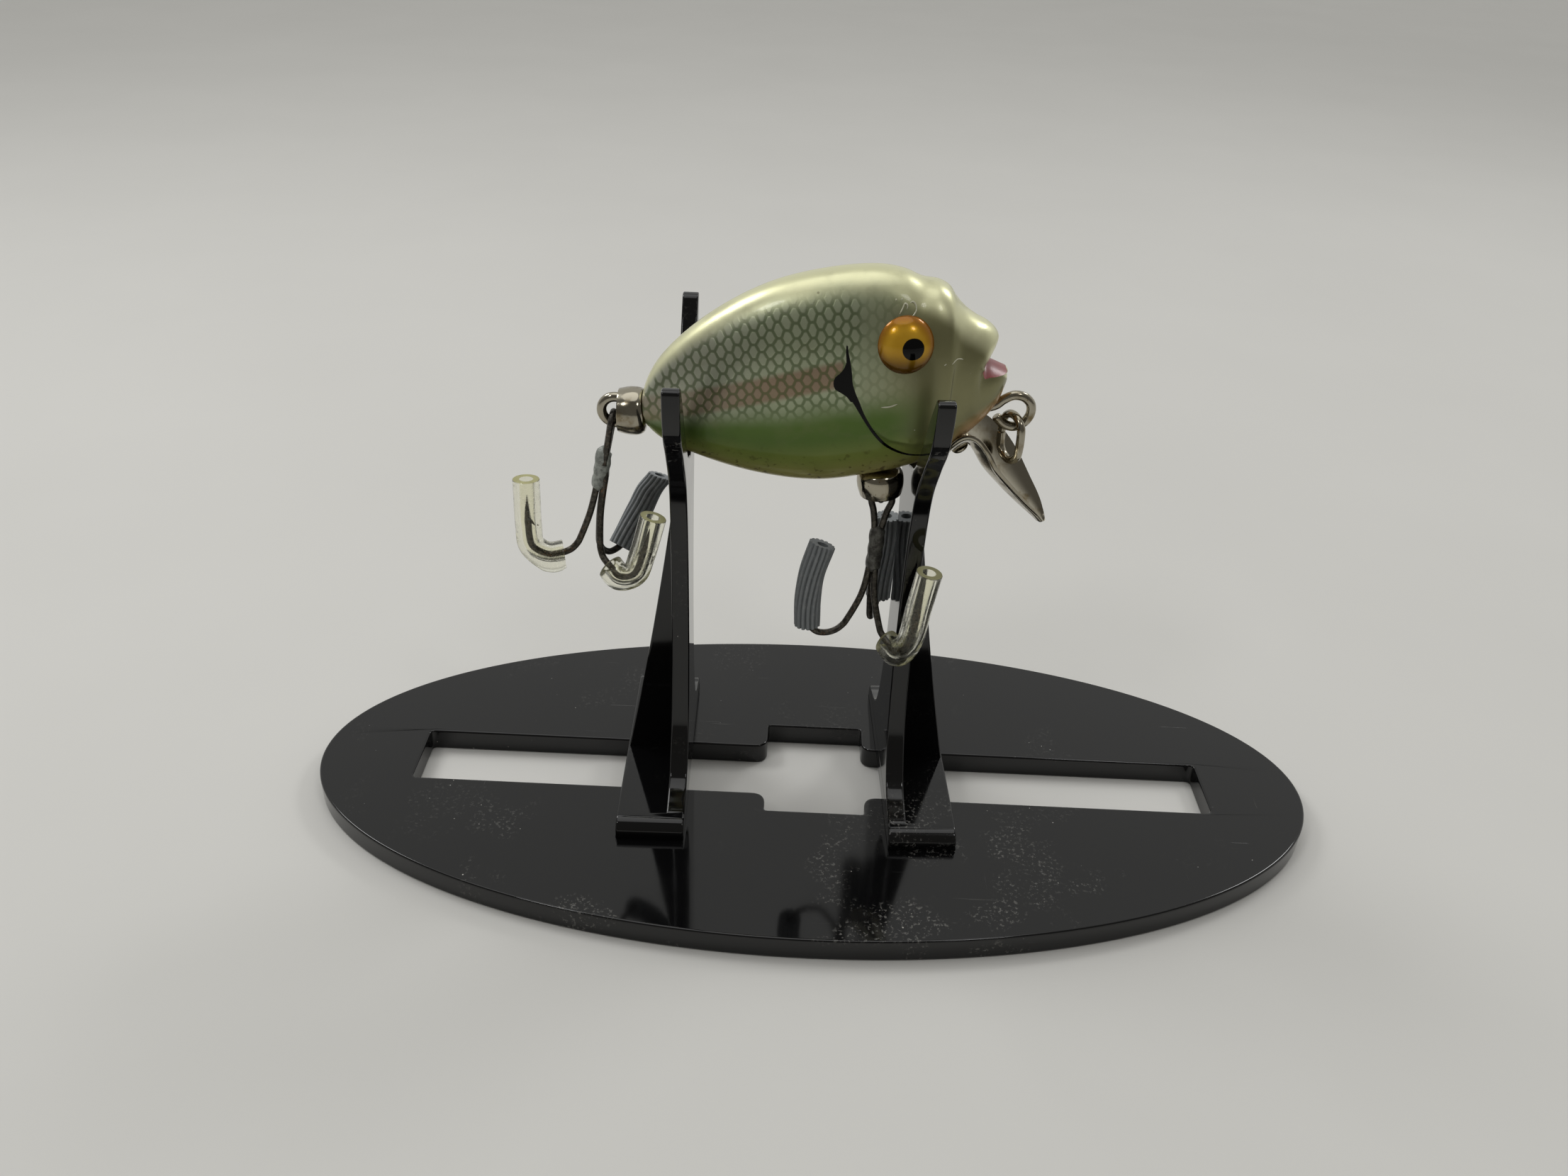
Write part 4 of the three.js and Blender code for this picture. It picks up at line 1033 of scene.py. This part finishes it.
# Each treble: its hooks' drop, spread and bend, the height of their tips, the shank, the turn of the
# eye, how far the lump of braze leans, its place and tilt (about X, about Y), the angles of its three
# hooks, and on each of them a tube along a line of (out, up) or (out, up, sideways). A clear tube
# is pressed out at a share of its length, over a width and by a reach
TREBLES = [
    {
        "name": "tail_treble",
        "hook": (9.3, 1.2, 4.1), "tip": -2.9, "shank": 12.1, "eye_turn": math.pi / 2, "lump": (-0.34, 0.15),
        "place": (-35.65, -1.75, 59.15), "tilt": (-0.145, 0.18), "angles": (3.37, 5.73, 0.95),
        "covers": [
            ("tail_cover_left", CLEAR, [(3.9, -11.9), (6.2, -12.5), (8.9, -11.3), (10.0, -8.0), (11.4, -0.4)],
             (0.1, 0.12, 0.85)),
            ("tail_cover_front", CLEAR, [(4.4, -12.0), (6.5, -12.8), (9.1, -11.3), (9.9, -8.0), (10.5, -1.2)],
             (0.1, 0.12, 0.35)),
            ("tail_cover_rear", RIBBED, [(7.7, -12.0, 0.0), (9.2, -9.3, 0.0), (10.9, -5.5, -0.1),
                                         (11.7, -2.2, -0.6), (12.1, 0.6, -2.0)], None),
        ],
    },
    {
        "name": "belly_treble",
        "hook": (9.6, 2.8, 3.8), "tip": 0.4, "shank": 13.2, "eye_turn": 0.0, "lump": (0.0, 0.0),
        "place": (7.5, -1.65, 46.6), "tilt": (-0.12, 0.055), "angles": (3.42, 5.44, 1.31),
        "covers": [
            ("belly_cover_left", RIBBED, [(9.9, -9.9), (10.3, -4.8), (10.1, -0.6), (8.9, 4.3)], None),
            ("belly_cover_front", CLEAR, [(5.0, -11.0), (7.7, -11.6), (9.8, -9.3), (11.0, -1.6), (11.8, 3.9)],
             (0.12, 0.1, 0.5)),
            ("belly_cover_rear", RIBBED, [(10.4, -9.6), (9.9, -2.3), (9.2, 5.6)], None),
        ],
    },
]


def hook(spec, line, angle):
    """One bend and point: a round wire, thin where it leaves the braze, that tapers to a needle,
    and a barb cut up from its inside."""
    path = smooth_line(round_shank(hook_line(*spec["hook"], line, spec["tip"]), angle), 170)
    run = running(path)
    left = run[-1] - run
    radius = HOOK_WIRE * np.clip(left / POINT_LENGTH, 0.03, 1) ** 0.75 * np.clip(run / 1.5, 0.1, 1) ** 0.6
    binormal = np.array([-math.sin(angle), math.cos(angle), 0])
    k = int(np.argmin(np.abs(left - POINT_LENGTH)))
    forward = unit(path[k] - path[k - 3])
    inward = np.cross(forward, binormal)
    inward *= -np.sign(inward @ (math.cos(angle), math.sin(angle), 0))
    t = np.linspace(0, 1, 14)[:, None]
    off, along = BARB["foot"] + BARB["rise"] * t**1.3, BARB["ahead"] - BARB["back"] * t
    barb = path[k] + inward * off + forward * along
    barb_radius = BARB["wire"] * (1.02 - t[:, 0]) ** 0.7
    return [sweep(path, binormal, radius, 16), sweep(barb, binormal, barb_radius, 10)]


def hook_eye(spec):
    """Eye of the treble: one wire up from the shank, round a loop and down again."""
    top, turn = spec["shank"], spec["eye_turn"]
    neck = top - HOOK_EYE_LENGTH
    arm = [(HOOK_WIRE, neck - 2), (HOOK_WIRE, neck), (2 * HOOK_WIRE, neck + 3.1)]
    for a in (0, 0.52, 1.05):
        arm.append((HOOK_EYE_RADIUS * math.cos(a), top - HOOK_EYE_RADIUS * (1 - math.sin(a))))
    right, left = round_shank(arm, turn), round_shank(arm, turn + math.pi)[::-1]
    path = smooth_line(np.vstack([right, [(0, 0, top)], left]), 140)
    return sweep(path, (-math.sin(turn), math.cos(turn), 0), HOOK_WIRE, 16)


def braze(spec):
    """Lump of braze round the shank: a ring whose radius swells in the middle and waves slightly."""
    z = np.linspace(-0.6, spec["shank"] - HOOK_EYE_LENGTH + 0.6, 60)
    share, a = np.linspace(0, 1, len(z))[:, None], turns(40)[None]
    swell = np.clip(np.sin(np.pi * share) * 3, 0, 1) ** 0.6
    wave = 1 + 0.06 * np.sin(3 * a + 4 * share) + 0.04 * np.sin(7 * share * np.pi + a)
    path = np.column_stack([spec["lump"][0] * swell, spec["lump"][1] * swell, z])
    return sweep(path, (0, 1, 0), (0.5 + 0.72 * swell) * wave, 40)


def tube(size, line, angle, pinch):
    """Tube on a point: an outer wall, a bore and flat ends between them, as one closed section
    carried along the line. Ribs are raised cosines round the wall with narrow grooves between
    them, and a clear tube is pressed out to a soft corner on the outside of its bend. Gives the
    part and the count of its rings and sides."""
    count, sides = 96, 150 if size["ribs"] else 56
    path = smooth_line(round_shank(line, angle), count)
    binormal = np.array([-math.sin(angle), math.cos(angle), 0])
    a, share = turns(sides)[None], np.linspace(0, 1, count)[:, None]
    outer = size["radius"] + 0 * a + 0 * share
    if size["ribs"]:
        wave = 0.12 * np.sin(5 * share + 1.0)
        outer = outer - GROOVE * (0.5 + 0.5 * np.cos((a + wave) * size["ribs"])) ** 3
        outer = outer * (1 + 0.012 * np.sin(9 * share + 2 * a))
    else:
        at, width, reach = pinch
        outer = outer + reach * np.exp(-((share - at) / width) ** 2) * (0.5 + 0.5 * np.cos(a)) ** 2
        outer = outer * (1 + 0.02 * np.sin(7 * share + a))
    rings = np.concatenate([[0.0, 0.004], np.linspace(0.02, 0.98, count - 4), [0.996, 1.0]])
    path, outer = (resampled(values, share[:, 0], rings) for values in (path, outer))
    outer[[0, -1]] -= 0.05
    bore_path = path + binormal * (0.25 if size["ribs"] else 0.0)
    outside, inside = (sweep(middle, binormal, radius, sides, caps=False)[0].reshape(count, sides, 3)
                       for middle, radius in ((path, outer), (bore_path, size["bore"])))
    ends = [np.stack([outside[k] + (inside[k] - outside[k]) * share_in for share_in in shares])
            for k, shares in ((-1, (0.06, 0.94)), (0, (0.94, 0.06)))]
    return shell(np.concatenate([outside, ends[0], inside[::-1], ends[1]]), wrap_rows=True), count, sides


def cut_faces(thing, count, sides, material):
    """Gives the flat ring at each end of a tube its own finish: the three rows of quads after the
    outer wall and the three after the bore."""
    thing.data.materials.append(material)
    index = np.zeros((2 * count + 4, sides), np.int32)
    index[count - 1:count + 2] = index[2 * count + 1:] = 1
    thing.data.polygons.foreach_set("material_index", index.ravel())


def trebles(wire, lumps, clear, cut, rubber):
    """Both treble hooks and the six tubes, each tube on its own point."""
    for spec, lump in zip(TREBLES, lumps):
        x, y, z = spec["place"]
        hang = at_place((x, LURE_Y + y, z), (spec["tilt"][1], "Y"), (spec["tilt"][0], "X"))
        covers = list(zip(spec["covers"], spec["angles"]))
        parts = [part for (_, _, line, _), angle in covers for part in hook(spec, line, angle)]
        fine_piece(spec["name"], parts + [hook_eye(spec)], hang, wire)
        piece(spec["name"] + "_braze", place(braze(spec), hang), lump)
        for (name, size, line, pinch), angle in covers:
            part, count, sides = tube(size, line, angle, pinch)
            if size["ribs"]:
                fine_piece(name, [part], hang, rubber)
            else:
                cut_faces(fine_piece(name, [part], hang, clear), count, sides, cut)


def camera():
    """Camera where the photograph was taken: its place, pitch and roll, and its lens."""
    pitch, roll = CAMERA["pitch"], CAMERA["roll"]
    ahead = Vector((0, math.cos(pitch), -math.sin(pitch)))
    across = Vector((1, 0, 0))
    down = ahead.cross(across)
    right = math.cos(roll) * across + math.sin(roll) * down
    down = -math.sin(roll) * across + math.cos(roll) * down
    data = bpy.data.cameras.new("camera")
    data.sensor_width, data.lens = 36.0, CAMERA["focal"] / CAMERA["frame"] * 36.0
    data.clip_start, data.clip_end = 0.01, 10.0
    thing = linked("camera", data)
    turned = Matrix((right, -down, -ahead)).transposed().to_4x4()
    thing.matrix_world = Matrix.Translation(CAMERA["place"]) @ turned
    bpy.context.scene.camera = thing


def area_light(name, at, towards, size, power):
    """A round soft light that faces a point."""
    data = bpy.data.lights.new(name, "AREA")
    data.shape, data.size, data.energy = "DISK", size, power
    thing = linked(name, data)
    thing.location = at
    thing.rotation_euler = (Vector(towards) - Vector(at)).to_track_quat("-Z", "Y").to_euler()


def studio():
    """Pale floor, a surround that is pale behind the lure and dim behind the camera, a wide soft
    sun overhead and four round lamps that give the gloss its highlights."""
    m = Finish("floor_paper", Roughness=0.85)
    m.set(Base_Color=m.blend(m.noise(12.0), (206, 205, 201), (212, 211, 207)))
    corners = np.array([(-1, -1, 0), (1, -1, 0), (1, 1, 0), (-1, 1, 0)], float) * 4000
    mesh_object("floor", (corners, [[0, 1, 2, 3]]), m.material)
    world = bpy.data.worlds.new("surround")
    w = Shading(world, "Generated")
    behind = w.span(w.node("SeparateXYZ", {0: w.place}).outputs[1], -0.45, 0.5)
    w.link(w.blend(behind, (104, 102, 98), (206, 206, 203)), w.tree.nodes["Background"].inputs[0])
    bpy.context.scene.world = world
    bpy.context.scene.view_settings.view_transform = "Standard"
    sky = bpy.data.lights.new("skylight", "SUN")
    sky.energy, sky.angle = 0.57, math.radians(50)
    linked("skylight", sky).rotation_euler = Vector((0.1, -0.08, -1.0)).to_track_quat("-Z", "Y").to_euler()
    for name, at, target_height, size, power in LAMPS:
        area_light(name, at, (0, 0, target_height), size, power)


camera()
studio()
acrylic = black_acrylic()
base_plate(acrylic)
for upright_name, face, way_out, twist in UPRIGHTS:
    upright(upright_name, face, way_out, twist, acrylic)
lacquer_chips(lure_body(body_paint(), mouth_rose()), chipped_lacquer())
eyes(eye_paint())
fittings(nickel())
# The belly lump is a darker copy of the same braze: painted shade for the lump that hangs under the body.
lumps = [braze_metal("tail_braze", (128, 132, 127), (170, 174, 168)),
         braze_metal("shaded_belly_braze", (66, 64, 60), (104, 104, 98))]
trebles(bronzed_wire(), lumps, clear_tubing(), tubing_cut(), ribbed_rubber())
